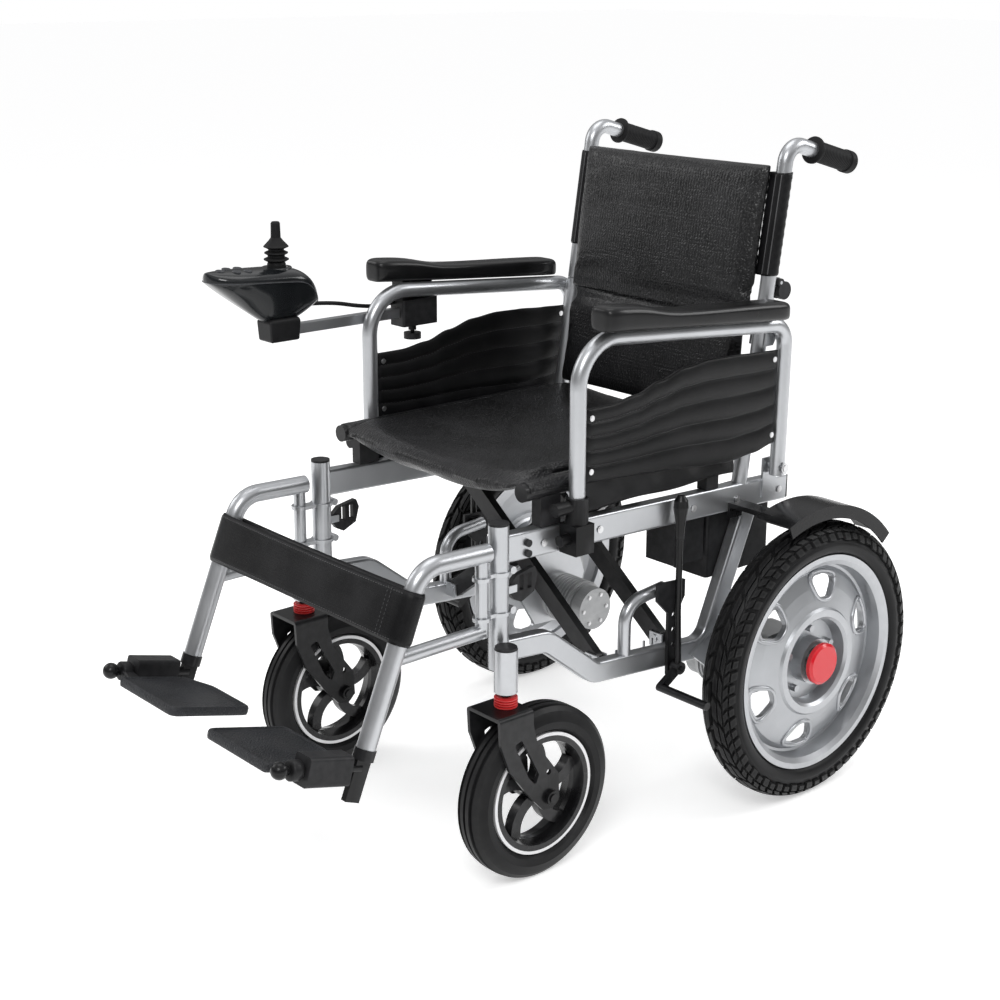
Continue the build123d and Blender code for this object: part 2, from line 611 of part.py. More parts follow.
def hanger_tube():
    path = [(HANGER_X, SWING_Y + 10, HANGER_TOP_Z), (HANGER_X, *LEG_TOP), (HANGER_X, *LEG_END)]
    tube = bar_along(path, [HANGER_BEND], Circle(HANGER_R))
    tube += along_z(BRACE_LOW_Z - 5, HANGER_TOP_Z - 2, HANGER_X, SWING_Y, SWING_R)
    leg_y = LEG_TOP[0] + LEG_DIR[0] * (BRACE_LOW_Z - LEG_TOP[1]) / LEG_DIR[1]
    tie = [(HANGER_X, SWING_Y, BRACE_LOW_Z + 2), (HANGER_X, leg_y, BRACE_LOW_Z)]
    tube += bar_along(tie, [], Circle(9.5))
    bore = Plane(origin=leg_point(0), x_dir=(1, 0, 0), z_dir=(0, -LEG_DIR[0], -LEG_DIR[1]))
    tube -= bore * Pos(0, 0, 59) * Cylinder(HANGER_R - TUBE_WALL, 120)
    return tube


def foot_frame():
    """Working plane of the footplate: x across, y backwards along the hinge rod, z up from the plate."""
    x, y, z = leg_point(22)
    tilt = radians(FOOT_TILT)
    return Plane(origin=(x, y - ROD_AHEAD, z), x_dir=(1, 0, 0), z_dir=(0, sin(tilt), cos(tilt)))


def front_reach():
    """Distance from the rear axle to the ball on the end of the footplate's rod."""
    return ROD_AHEAD - leg_point(22)[1] + ROD_END * cos(radians(FOOT_TILT)) + ROD_BALL_R


ORIGIN_SHIFT = (front_reach() - WHEEL_R) / 2


def footplate_stem():
    """Rod that slides in the leg, with its collar, flat bar and the footplate's hinge rod."""
    axis = Plane(origin=leg_point(0), x_dir=(1, 0, 0), z_dir=(0, -LEG_DIR[0], -LEG_DIR[1]))
    stem = axis * Pos(0, 0, 45) * Cylinder(HANGER_R - TUBE_WALL - 0.08, 92)
    stem += axis * Pos(0, 0, -7.2) * Cylinder(HANGER_R + 1.5, 14)
    stem += axis * Pos(0, 0, -38) * Box(9, 22, 60)
    rod = foot_frame() * Pos(0, -(ROD_END / 2) + 4, 0) * Rot(90, 0, 0) * Cylinder(ROD_R, ROD_END + 8)
    stem += rod
    stem += foot_frame() * Pos(0, -ROD_END, 0) * Sphere(ROD_BALL_R)
    return stem


def footplate_sleeve():
    """Square hinge block on the rod, which lifts the footplate when the frame folds."""
    body = Pos(0, -48.5, 0) * Box(SLEEVE_W, 65, SLEEVE_H)
    body = fillet(body.edges().filter_by(Axis.Y), 5)
    body -= Pos(0, -47, 0) * Rot(90, 0, 0) * Cylinder(ROD_R + RUN, 90)
    return foot_frame() * body


def footplate():
    """Tread plate that turns on the front of the hinge rod."""
    rear = 8.0
    front = rear - PLATE_L
    inner = -PLATE_GAP
    outer = inner - PLATE_W
    outline = [(inner, -14), (inner - 42, rear), (outer, rear), (outer, front), (inner, front)]
    plate = extrude(make_face(Polyline(*outline, close=True)), amount=-PLATE_T)
    plate = fillet(plate.edges().filter_by(Axis.Z).sort_by(Axis.X)[:2], 12)
    hub = Pos(0, -92, 0) * Rot(90, 0, 0) * Cylinder(13, 16)
    plate += Pos(inner / 2 - 2, -92, -6) * Box(-inner + 4, 16, 12)
    plate += hub
    plate -= Pos(0, -92, 0) * Rot(90, 0, 0) * Cylinder(ROD_R + RUN, 30)
    return foot_frame() * plate


def release_lever():
    """Flat lever behind the front post that frees the legrest."""
    y, z = RELEASE_Y, RELEASE_Z
    body = plate_x(FRAME_X - 4, FRAME_X + 4, [
        (y - 5, z - 6), (y - 5, z + 6), (y + 6, z + 16), (y + 37, z + 22), (y + 42, z + 10),
        (y + 36, z - 12), (y + 14, z - 22), (y + 2, z - 16),
    ])
    body = fillet(body.edges().filter_by(Axis.X), 2)
    for dy in (14, 28):
        body -= block(FRAME_X - 10, FRAME_X + 10, y + dy - 3.5, y + dy + 3.5, z - 6, z + 15)
    body -= along_x(FRAME_X - 10, FRAME_X + 10, y, z, 3 + RUN)
    return body


def release_pivot():
    """Ears and pin behind the front post that carry the release lever."""
    pivot = along_x(FRAME_X - 7, FRAME_X + 7, RELEASE_Y, RELEASE_Z, 3)
    for side in (-1, 1):
        x0 = FRAME_X + side * 4.4
        pivot += block(x0, x0 + side * 2.6, POST_Y + 5, RELEASE_Y + 4, RELEASE_Z - 5, RELEASE_Z + 5)
    return pivot


# ---- back, seat and soft parts ----
def back_post():
    """Upper back tube that runs into the push handle, with the tongue of the folding hinge."""
    bottom = HINGE_Z + 3 + JOIN_GAP
    corner = (BACK_X, post_y(HANDLE_Z), HANDLE_Z)
    end_y = GRIP_END - 12
    end = (BACK_X, end_y, HANDLE_Z - (end_y - post_y(HANDLE_Z)) * HANDLE_DROP)
    tube = bar_along([(BACK_X, post_y(bottom), bottom), corner, end], [HANDLE_R], ring(BACK_R, TUBE_WALL))
    hinge_y = post_y(HINGE_Z) + HINGE_BACK
    tongue = plate_x(BACK_X - 4, BACK_X + 4, [
        (post_y(712) + BACK_R - 3, 712), (post_y(700) + BACK_R - 3, 699), (hinge_y - 5, HINGE_Z - 6),
        (hinge_y + 6, HINGE_Z - 5), (hinge_y + 7, HINGE_Z + 6), (post_y(716) + BACK_R + 1, 716),
    ])
    tongue -= along_x(BACK_X - 9, BACK_X + 9, hinge_y, HINGE_Z, 3 + RUN)
    lug_y = post_y(LATCH_Z) + BACK_R
    tongue += block(BACK_X - 3, BACK_X + 3, lug_y - 3, lug_y + 12, LATCH_Z - 6, LATCH_Z + 6)
    tongue += along_x(BACK_X - 10, BACK_X + 10, lug_y + 7, LATCH_Z, 2.5)
    return tube + tongue


def back_latch():
    """Half-round thumb lever that unlocks the folding back."""
    y = post_y(LATCH_Z) + BACK_R + 7
    body = along_x(BACK_X - 10, BACK_X + 10, y, LATCH_Z, 6)
    body += along_x(BACK_X - 10, BACK_X + 10, y + 8, LATCH_Z - 12, 13)
    body -= block(BACK_X - 3.4, BACK_X + 3.4, y - 20, y + 40, LATCH_Z - 40, LATCH_Z + 20)
    body += block(BACK_X - 4, BACK_X + 4, y + 13, y + 20, LATCH_Z - 18, LATCH_Z - 6)
    body -= along_x(BACK_X - 20, BACK_X + 20, y, LATCH_Z, 2.5 + RUN)
    body -= block(BACK_X - 30, BACK_X + 30, y - 40, y - 7 + 0.5, LATCH_Z - 60, LATCH_Z + 30)
    return body


def push_grip():
    length = GRIP_END - GRIP_START
    slope = atan2(HANDLE_DROP, 1.0)
    mid_y = (GRIP_START + GRIP_END) / 2
    mid_z = HANDLE_Z - (mid_y - post_y(HANDLE_Z)) * HANDLE_DROP
    grip = Cylinder(GRIP_R, length / cos(slope))
    grip -= Pos(0, 0, -9) * Cylinder(BACK_R, length / cos(slope))
    return Pos(BACK_X, mid_y, mid_z) * Rot(-90 - degrees(slope), 0, 0) * grip


def seat_pad():
    """Sling seat: it sags between the seat tubes and laps over their inner halves."""
    front = SEAT_FRONT_Y - 8
    rear = -20.0
    edge = SEAT_TUBE_X - SEAT_TUBE_R - 0.6
    lap = SEAT_TUBE_Z + SEAT_TUBE_R + 0.8
    half = [(edge, SEAT_TUBE_Z - 5), (edge, lap), (edge + 6, lap), (edge + 4, SEAT_TUBE_Z + SEAT_T)]
    other = [(-x, z) for x, z in reversed(half)]
    outline = [(0, SEAT_TUBE_Z - 16)] + half + [(0, SEAT_TUBE_Z + SEAT_T - 9)] + other
    face = make_face(Polyline(*[(x, front, z) for x, z in outline], close=True))
    pad = extrude(face, amount=rear - front, dir=(0, 1, 0))
    for side in (-1, 1):
        notch = BACK_X - BACK_R - 1.5
        pad -= block(side * notch, side * (notch + 30), post_y(SEAT_TUBE_Z) - BACK_R - 3, 0, 480, 560)
    return pad


def back_piece(z0, z1, with_sleeves):
    """A slab of back upholstery that lies in front of the posts, with a pocket round each post."""
    half = BACK_X - BACK_R - 0.8
    pts = [(post_y(z0) - 27, z0), (post_y(z0) - 5, z0), (post_y(z1) - 5, z1), (post_y(z1) - 27, z1)]
    slab = plate_x(-half, half, pts)
    if with_sleeves:
        for side in (-1, 1):
            low = LATCH_Z + 12
            line = [(side * BACK_X, post_y(low), low), (side * BACK_X, post_y(z1 - 12), z1 - 12)]
            pocket = bar_along(line, [], Circle(BACK_R + 2.3) - Circle(BACK_R + CLEAR))
            slab += pocket
    return slab


def calf_strap():
    """Webbing loop round both legs."""
    origin = (0, LEG_TOP[0] + LEG_DIR[0] * STRAP_DOWN, LEG_TOP[1] + LEG_DIR[1] * STRAP_DOWN)
    plane = Plane(origin=origin, x_dir=(1, 0, 0), z_dir=(0, -LEG_DIR[0], -LEG_DIR[1]))
    inner = HANGER_R + CLEAR
    outer = inner + STRAP_T
    loop = SlotCenterToCenter(2 * HANGER_X, 2 * outer) - SlotCenterToCenter(2 * HANGER_X, 2 * inner)
    return extrude(plane * loop, amount=STRAP_H / 2, both=True)


# ---- cross brace ----
def brace_arm(offset, lean):
    """Two flat bars and the seat tube welded on their tops. lean +1 rises to the left, -1 to the right."""
    low = (-lean * PIVOT_X, PIVOT_Z)
    top = (lean * SEAT_TUBE_X, SEAT_TUBE_Z)
    run, rise = top[0] - low[0], top[1] - low[1]
    length = hypot(run, rise)
    angle = degrees(atan2(rise, run))
    arm = along_y(SEAT_FRONT_Y, SEAT_TUBE_REAR_Y, top[0], top[1], SEAT_TUBE_R)
    for sign in (-1, 1):
        y = BRACE_Y + sign * offset
        bar = Pos(length / 2 - 4, 0, 0) * Box(length - 8, BAR_T, BAR_W)
        bar += Rot(90, 0, 0) * Cylinder(BAR_W / 2, BAR_T)
        bar = Pos(low[0], y, low[1]) * Rot(0, -angle, 0) * bar
        arm += bar - block(-400, 400, y - 30, y + 30, SEAT_TUBE_Z - 10, SEAT_TUBE_Z + 90)
        arm -= along_y(y - BAR_T, y + BAR_T, low[0], low[1], BRACE_PIN_R + RUN)
    return arm


def centre_point():
    rise = (SEAT_TUBE_Z - PIVOT_Z) * PIVOT_X / (PIVOT_X + SEAT_TUBE_X)
    return PIVOT_Z + rise


def cross_brace_a():
    """Inner pair of bars, rising to the left, with the long pivot pin through the middle."""
    arm = brace_arm(INNER_BAR, 1)
    reach = OUTER_BAR + BAR_T / 2 + 3
    arm += along_y(BRACE_Y - reach, BRACE_Y + reach, 0, centre_point(), BRACE_PIN_R)
    return arm


def cross_brace_b():
    arm = brace_arm(OUTER_BAR, -1)
    reach = OUTER_BAR + BAR_T
    arm -= along_y(BRACE_Y - reach, BRACE_Y + reach, 0, centre_point(), BRACE_PIN_R + RUN)
    return arm


def battery_box():
    """Battery case and the smaller power module in front of it, on the inside of the left frame."""
    case = block(INNER - 67, INNER, -98, 34, 318, 426)
    case = fillet(case.edges().filter_by(Axis.Z), 5)
    module = block(INNER - 56, INNER, -164, -106, 350, 412)
    return [case, module]


# ---- controller on the right armrest ----
def controller_case():
    """Joystick housing: a boat-shaped shell, long at the front, on a square socket for the rail."""
    x, y, z = STICK_X, STICK_Y, STICK_Z
    side = plate_x(x - CASE_W / 2, x + CASE_W / 2, [
        (y - 116, z + 1), (y - 112, z + 6), (y - 96, z + 4), (y - 20, z - 2), (y + 26, z - 2),
        (y + 46, z - 12), (y + 60, z - 38), (y + 57, z - 54), (y + 26, z - 77), (y - 26, z - 77),
        (y - 105, z - 18), (y - 116, z - 8),
    ])
    front = [(-20, -90), (20, -90), (CASE_W / 2, -30), (CASE_W / 2, -14), (CASE_W / 2 - 8, 10),
             (8 - CASE_W / 2, 10), (-CASE_W / 2, -14), (-CASE_W / 2, -30)]
    face = make_face(Polyline(*[(x + a, y - 130, z + b) for a, b in front], close=True))
    body = side & extrude(face, amount=200, dir=(0, 1, 0))
    plan = Plane(origin=(x, y - 28, z - 100)) * RectangleRounded(CASE_W, 178, 34)
    body = body & extrude(plan, amount=130)
    body += block(x - 17, x + 17, y - 23, y + 25, RAIL_Z - 13, z - 76)
    body -= along_z(z - 18, z + 4, x, y, STICK_HOLE_R)
    bore = RAIL_S / 2 + RUN
    body -= block(x - bore, x + bore, y - 12, y + 40, RAIL_Z - bore, RAIL_Z + bore)
    return body


def joystick_gimbal():
    """Ring that rocks left and right inside the case and carries the stick."""
    z = STICK_Z - 8
    reach = STICK_HOLE_R - 0.2
    ring_body = along_z(z - 3, z + 3, STICK_X, STICK_Y, 14) - along_z(z - 5, z + 5, STICK_X, STICK_Y, 10.5)
    ring_body += along_y(STICK_Y - reach, STICK_Y - 13, STICK_X, z, 2)
    ring_body += along_y(STICK_Y + 13, STICK_Y + reach, STICK_X, z, 2)
    return ring_body


def joystick():
    """Stick with its ribbed rubber boot."""
    z = STICK_Z
    pts = [(0, -14), (6, -14), (6, -2), (13, 0), (13, 5), (12, 8), (17.5, 11), (17.5, 12.5), (12, 15),
           (12, 17.5), (16.5, 20), (16.5, 21.5), (11, 24), (11, 26), (17.5, 29), (17.5, 30), (10, 38),
           (7, 42), (6.5, 62), (5, 64), (0, 64)]
    face = make_face(Polyline(*[(r, 0, h) for r, h in pts], close=True))
    stick = Pos(STICK_X, STICK_Y, z) * revolve(face, axis=Axis.Z)
    stick += along_x(STICK_X - 10, STICK_X + 10, STICK_Y, z - 8, 2)
    return stick


def controller_rail():
    half = RAIL_S / 2
    return block(STICK_X - half, STICK_X + half, STICK_Y - 11, -252, RAIL_Z - half, RAIL_Z + half)


def rail_clamp():
    """Clamp under the arm pad that holds the controller's rail."""
    y0, y1 = -323.0, -258.0
    under_tube = arm_top_z(y1) - ARM_R - 1
    body = block(STICK_X - 17, STICK_X + 17, y0, y1, RAIL_Z - 20, under_tube)
    body = fillet(body.edges().filter_by(Axis.Z), 4)
    neck = plate_x(STICK_X - 17, -(ARM_X + ARM_R + 0.4), [
        (y0 + 5, under_tube - 2), (y1 - 5, under_tube - 2), (y1 - 5, arm_top_z(y1 - 5) + ARM_R),
        (y0 + 5, arm_top_z(y0 + 5) + ARM_R),
    ])
    body += neck
    bore = RAIL_S / 2 + RUN
    body -= block(STICK_X - bore, STICK_X + bore, y0 - 5, y1 + 5, RAIL_Z - bore, RAIL_Z + bore)
    body -= along_z(RAIL_Z - 30, RAIL_Z - 5, STICK_X, KNOB_Y, 3 + RUN)
    return body


def clamp_knob():
    """Thumb screw under the clamp."""
    z = RAIL_Z - 20
    knob = along_z(z - 22, RAIL_Z - RAIL_S / 2 - 1, STICK_X, KNOB_Y, 3)
    knob += along_z(z - 9, z - 1, STICK_X, KNOB_Y, 6)
    knob += along_z(z - 22, z - 13, STICK_X, KNOB_Y, 13)
    return knob


CABLE_R = 3.0
CABLE_POINTS = [
    (STICK_X, STICK_Y + 58, 702), (STICK_X - 1, -437, 699), (STICK_X - 3, -392, 688),
    (STICK_X - 4, -356, 683), (STICK_X - 5, -323.5, 685),
]


def controller_cable():
    """Lead from the controller to the clamp, made of straight runs joined by large arcs."""
    runs = [(Vector(*b) - Vector(*a)) for a, b in zip(CABLE_POINTS, CABLE_POINTS[1:])]
    radii = []
    for before, after in zip(runs, runs[1:]):
        half_turn = radians(before.get_angle(after)) / 2
        radii.append(0.45 * min(before.length, after.length) / tan(half_turn))
    path = FilletPolyline(*CABLE_POINTS, radius=radii)
    section = Plane(origin=path @ 0, z_dir=path % 0) * Circle(CABLE_R)
    return sweep(section, path=path)


# ---- write the nodes ----
def save(name, shape):
    if isinstance(shape, list):
        shape = Compound(children=[Pos(0, ORIGIN_SHIFT, 0) * s for s in shape])
    else:
        shape = Pos(0, ORIGIN_SHIFT, 0) * shape
    shape.label = name
    export_step(shape, f"parts/{name}.step")


def mirrored(shape):
    if isinstance(shape, list):
        return [mirror(s, about=Plane.YZ) for s in shape]
    return mirror(shape, about=Plane.YZ)


os.makedirs("parts", exist_ok=True)

base_frame = side_frame()
save("left_side_frame", ears_for(base_frame, keep_inner=False))
save("right_side_frame", mirrored(ears_for(base_frame, keep_inner=True)))

PAIRS = {
    "frame_fittings": frame_fittings(),
    "motor": motor(),
    "fender": fender(),
    "caster_fork": caster_fork(),
    "caster_boot": caster_boot(),
    "caster_rim": caster_rim(),
    "caster_tyre": caster_tyre(),
    "rear_rim": rear_rim(),
    "rear_tyre": rear_tyre(),
    "hub_cap": hub_cap(),
    "armrest_tube": armrest_tube(),
    "armrest_pad": armrest_pad(),
    "side_panel": side_panel(),
    "hanger_tube": hanger_tube(),
    "footplate_stem": footplate_stem(),
    "footplate_sleeve": footplate_sleeve(),
    "footplate": footplate(),
    "release_lever": release_lever(),
    "back_post": back_post(),
    "push_grip": push_grip(),
    "back_latch": back_latch(),
    "brake_lever": brake_lever(),
}
for name, shape in PAIRS.items():
    save(f"left_{name}", shape)
    save(f"right_{name}", mirrored(shape))

save("cross_brace_a", cross_brace_a())
save("cross_brace_b", cross_brace_b())
save("seat_pad", seat_pad())
save("back_upper", back_piece(HINGE_Z + 10, 901, True))
save("back_lower", back_piece(BACK_LOW_Z, HINGE_Z + 8, False))
save("calf_strap", calf_strap())
save("battery_box", battery_box())
save("controller_case", controller_case())
save("joystick_gimbal", joystick_gimbal())
save("joystick", joystick())
save("controller_rail", controller_rail())
save("rail_clamp", rail_clamp())
save("clamp_knob", clamp_knob())
save("controller_cable", controller_cable())
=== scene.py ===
import json
from math import cos, exp, hypot, pi, radians, sin

import bmesh
import bpy
from mathutils import Matrix, Vector


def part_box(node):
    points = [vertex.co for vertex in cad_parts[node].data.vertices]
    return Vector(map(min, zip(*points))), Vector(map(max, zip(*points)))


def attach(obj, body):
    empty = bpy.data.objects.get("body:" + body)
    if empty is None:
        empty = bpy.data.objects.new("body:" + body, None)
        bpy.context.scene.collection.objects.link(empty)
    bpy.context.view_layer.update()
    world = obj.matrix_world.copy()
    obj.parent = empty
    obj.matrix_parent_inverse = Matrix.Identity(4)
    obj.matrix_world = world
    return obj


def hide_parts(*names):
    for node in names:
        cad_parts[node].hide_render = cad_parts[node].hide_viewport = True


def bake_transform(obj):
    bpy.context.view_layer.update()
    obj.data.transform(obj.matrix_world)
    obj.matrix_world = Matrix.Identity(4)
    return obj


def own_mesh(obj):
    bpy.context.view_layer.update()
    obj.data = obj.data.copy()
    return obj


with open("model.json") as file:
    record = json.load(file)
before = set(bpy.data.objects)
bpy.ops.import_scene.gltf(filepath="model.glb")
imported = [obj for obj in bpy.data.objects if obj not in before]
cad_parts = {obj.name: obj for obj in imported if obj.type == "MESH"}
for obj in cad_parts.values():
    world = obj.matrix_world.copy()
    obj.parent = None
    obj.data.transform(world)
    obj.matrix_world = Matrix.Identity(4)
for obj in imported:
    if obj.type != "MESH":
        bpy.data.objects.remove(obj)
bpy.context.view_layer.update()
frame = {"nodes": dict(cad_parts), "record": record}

# ---- places, read from the frame ----
# Lengths below are in millimetres from the rear axle's line, as at() takes them.
MM = 0.001
SIDES = (("left", 1), ("right", -1))


def middle(node):
    low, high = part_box(node)
    return (low + high) / 2


AXLE = middle("left_rear_tyre")
AXLE_Y = AXLE.y / MM
TYRE_R = (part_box("left_rear_tyre")[1].z - AXLE.z) / MM
WHEEL_X = AXLE.x / MM
CASTER = middle("left_caster_tyre")
CASTER_Y = (CASTER.y - AXLE.y) / MM
CASTER_Z = CASTER.z / MM
CASTER_X = CASTER.x / MM
STICK = middle("joystick")
STICK_X = STICK.x / MM
STICK_Y = (STICK.y - AXLE.y) / MM
STICK_BASE_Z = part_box("joystick")[0].z / MM + 14
ARM_X = middle("left_armrest_tube").x / MM
HANGER_X = middle("left_hanger_tube").x / MM
BACK_X = middle("left_back_post").x / MM
FRAME_X = 195.0
MOTOR_Y, MOTOR_Z = -26.0, 168.0
# Where the hub cap turns red, out from its wheel, and where the caster rim turns silver.
RED_FROM = 23.2
SILVER_FROM = 79.6


def at(x, y, z):
    """A point in the frame, from millimetres across, behind the rear axle, and above the floor."""
    return Vector((x * MM, (y + AXLE_Y) * MM, z * MM))


def post_y(z):
    """Where the leaning back post's centre line is at this height."""
    return -3 + (z - 722) * 0.1557


def arm_z(y):
    """Height of the armrest tube's centre line."""
    return 712 - (y + 388) * 31 / 397


# ---- node helpers ----
def add(tree, kind, **settings):
    node = tree.nodes.new(kind)
    for key, value in settings.items():
        setattr(node, key, value)
    return node


def wire(tree, out, into):
    tree.links.new(out, into)
    return into.node


def maths(tree, operation, a, b=None, clamp=False):
    node = add(tree, "ShaderNodeMath", operation=operation, use_clamp=clamp)
    for i, value in enumerate((a, b)):
        if value is None:
            continue
        if isinstance(value, (int, float)):
            node.inputs[i].default_value = value
        else:
            tree.links.new(value, node.inputs[i])
    return node.outputs[0]


def blend_color(tree, factor, a, b):
    node = add(tree, "ShaderNodeMix", data_type="RGBA")
    for socket, value in ((node.inputs[0], factor), (node.inputs[6], a), (node.inputs[7], b)):
        if isinstance(value, (int, float)):
            socket.default_value = value
        elif isinstance(value, tuple):
            socket.default_value = (*value, 1)
        else:
            tree.links.new(value, socket)
    return node.outputs[2]


def new_group(name, inputs, outputs):
    tree = bpy.data.node_groups.new(name, "ShaderNodeTree")
    for label, value in inputs:
        socket = tree.interface.new_socket(name=label, in_out="INPUT", socket_type="NodeSocketFloat")
        socket.default_value = value
    for label in outputs:
        tree.interface.new_socket(name=label, in_out="OUTPUT", socket_type="NodeSocketFloat")
    return tree, add(tree, "NodeGroupInput"), add(tree, "NodeGroupOutput")


def noise(tree, scale, detail, distortion=0.0):
    coords = add(tree, "ShaderNodeTexCoord")
    texture = add(tree, "ShaderNodeTexNoise")
    texture.inputs["Detail"].default_value = detail
    texture.inputs["Distortion"].default_value = distortion
    wire(tree, coords.outputs["Object"], texture.inputs["Vector"])
    if isinstance(scale, (int, float)):
        texture.inputs["Scale"].default_value = scale
    else:
        wire(tree, scale, texture.inputs["Scale"])
    return texture.outputs["Fac"]


def edge_rub_group():
    """Mask of the raised edges that hands and floors rub."""
    tree, gin, gout = new_group("edge_rub", (("Amount", 0.5), ("Scale", 60)), ("Mask",))
    shape = add(tree, "ShaderNodeNewGeometry")
    raised = maths(tree, "MULTIPLY", maths(tree, "SUBTRACT", shape.outputs["Pointiness"], 0.52), 14, True)
    patchy = maths(tree, "MULTIPLY", noise(tree, gin.outputs["Scale"], 4), 1.5, True)
    mask = maths(tree, "MULTIPLY", raised, patchy, True)
    wire(tree, maths(tree, "MULTIPLY", mask, gin.outputs["Amount"], True), gout.inputs["Mask"])
    return tree


def grain_group():
    """Fine unevenness: a height for the bump and a tone for the colour."""
    tree, gin, gout = new_group("grain", (("Scale", 600), ("Patch Scale", 12)), ("Height", "Tone"))
    wire(tree, noise(tree, gin.outputs["Scale"], 5), gout.inputs["Height"])
    wire(tree, noise(tree, gin.outputs["Patch Scale"], 4, distortion=0.4), gout.inputs["Tone"])
    return tree


def dust_group():
    """Mask of the faces that look up, where dust settles."""
    tree, gin, gout = new_group("dust", (("Amount", 0.2),), ("Mask",))
    shape = add(tree, "ShaderNodeNewGeometry")
    parts = add(tree, "ShaderNodeSeparateXYZ")
    wire(tree, shape.outputs["Normal"], parts.inputs[0])
    up = maths(tree, "MULTIPLY", parts.outputs["Z"], 1.0, True)
    cloud = maths(tree, "MULTIPLY", maths(tree, "SUBTRACT", noise(tree, 24, 5), 0.42), 4, True)
    mask = maths(tree, "MULTIPLY", up, cloud, True)
    wire(tree, maths(tree, "MULTIPLY", mask, gin.outputs["Amount"], True), gout.inputs["Mask"])
    return tree


def crinkle_group():
    """Coated cloth with short crossed threads and broken rows."""
    tree, gin, gout = new_group("crinkle", (("Scale", 420), ("Breaks", 40)), ("Height", "Tone"))
    coords = add(tree, "ShaderNodeTexCoord")
    bend = add(tree, "ShaderNodeTexNoise")
    bend.inputs["Detail"].default_value = 3
    wire(tree, coords.outputs["Object"], bend.inputs["Vector"])
    wire(tree, gin.outputs["Breaks"], bend.inputs["Scale"])
    rows = []
    for axis in ("X", "Z", "Y"):
        wave = add(tree, "ShaderNodeTexWave", wave_type="BANDS", bands_direction=axis)
        wave.inputs["Distortion"].default_value = 6
        wave.inputs["Detail"].default_value = 2
        wave.inputs["Detail Scale"].default_value = 3
        wire(tree, coords.outputs["Object"], wave.inputs["Vector"])
        wire(tree, gin.outputs["Scale"], wave.inputs["Scale"])
        rows.append(wave.outputs["Fac"])
    upright = maths(tree, "MULTIPLY", rows[0], rows[1])
    level = maths(tree, "MULTIPLY", rows[0], rows[2])
    crossed = maths(tree, "MAXIMUM", upright, level)
    broken = maths(tree, "MULTIPLY", crossed, maths(tree, "ADD", bend.outputs["Fac"], 0.3), True)
    wire(tree, broken, gout.inputs["Height"])
    wire(tree, bend.outputs["Fac"], gout.inputs["Tone"])
    return tree


def cells_group():
    """Raised cells, for leather grain and pebbled plastic."""
    tree, gin, gout = new_group("cells", (("Scale", 500),), ("Height",))
    coords = add(tree, "ShaderNodeTexCoord")
    cell = add(tree, "ShaderNodeTexVoronoi", feature="DISTANCE_TO_EDGE")
    wire(tree, coords.outputs["Object"], cell.inputs["Vector"])
    wire(tree, gin.outputs["Scale"], cell.inputs["Scale"])
    wire(tree, maths(tree, "MULTIPLY", cell.outputs["Distance"], 3, True), gout.inputs["Height"])
    return tree


GROUPS = {
    "edge_rub": edge_rub_group(),
    "grain": grain_group(),
    "dust": dust_group(),
    "crinkle": crinkle_group(),
    "cells": cells_group(),
}


def place(tree, group, **values):
    node = add(tree, "ShaderNodeGroup", node_tree=GROUPS[group])
    for key, value in values.items():
        node.inputs[key.replace("_", " ")].default_value = value
    return node


GRAIN_STEP = 0.0002
CLOTH_STEP = 0.0006
COAT_ROUGHNESS = 0.12
DARK_GLOSS, PALE_GLOSS = 0.17, 0.5
DUST_COLOR = (0.42, 0.40, 0.37)


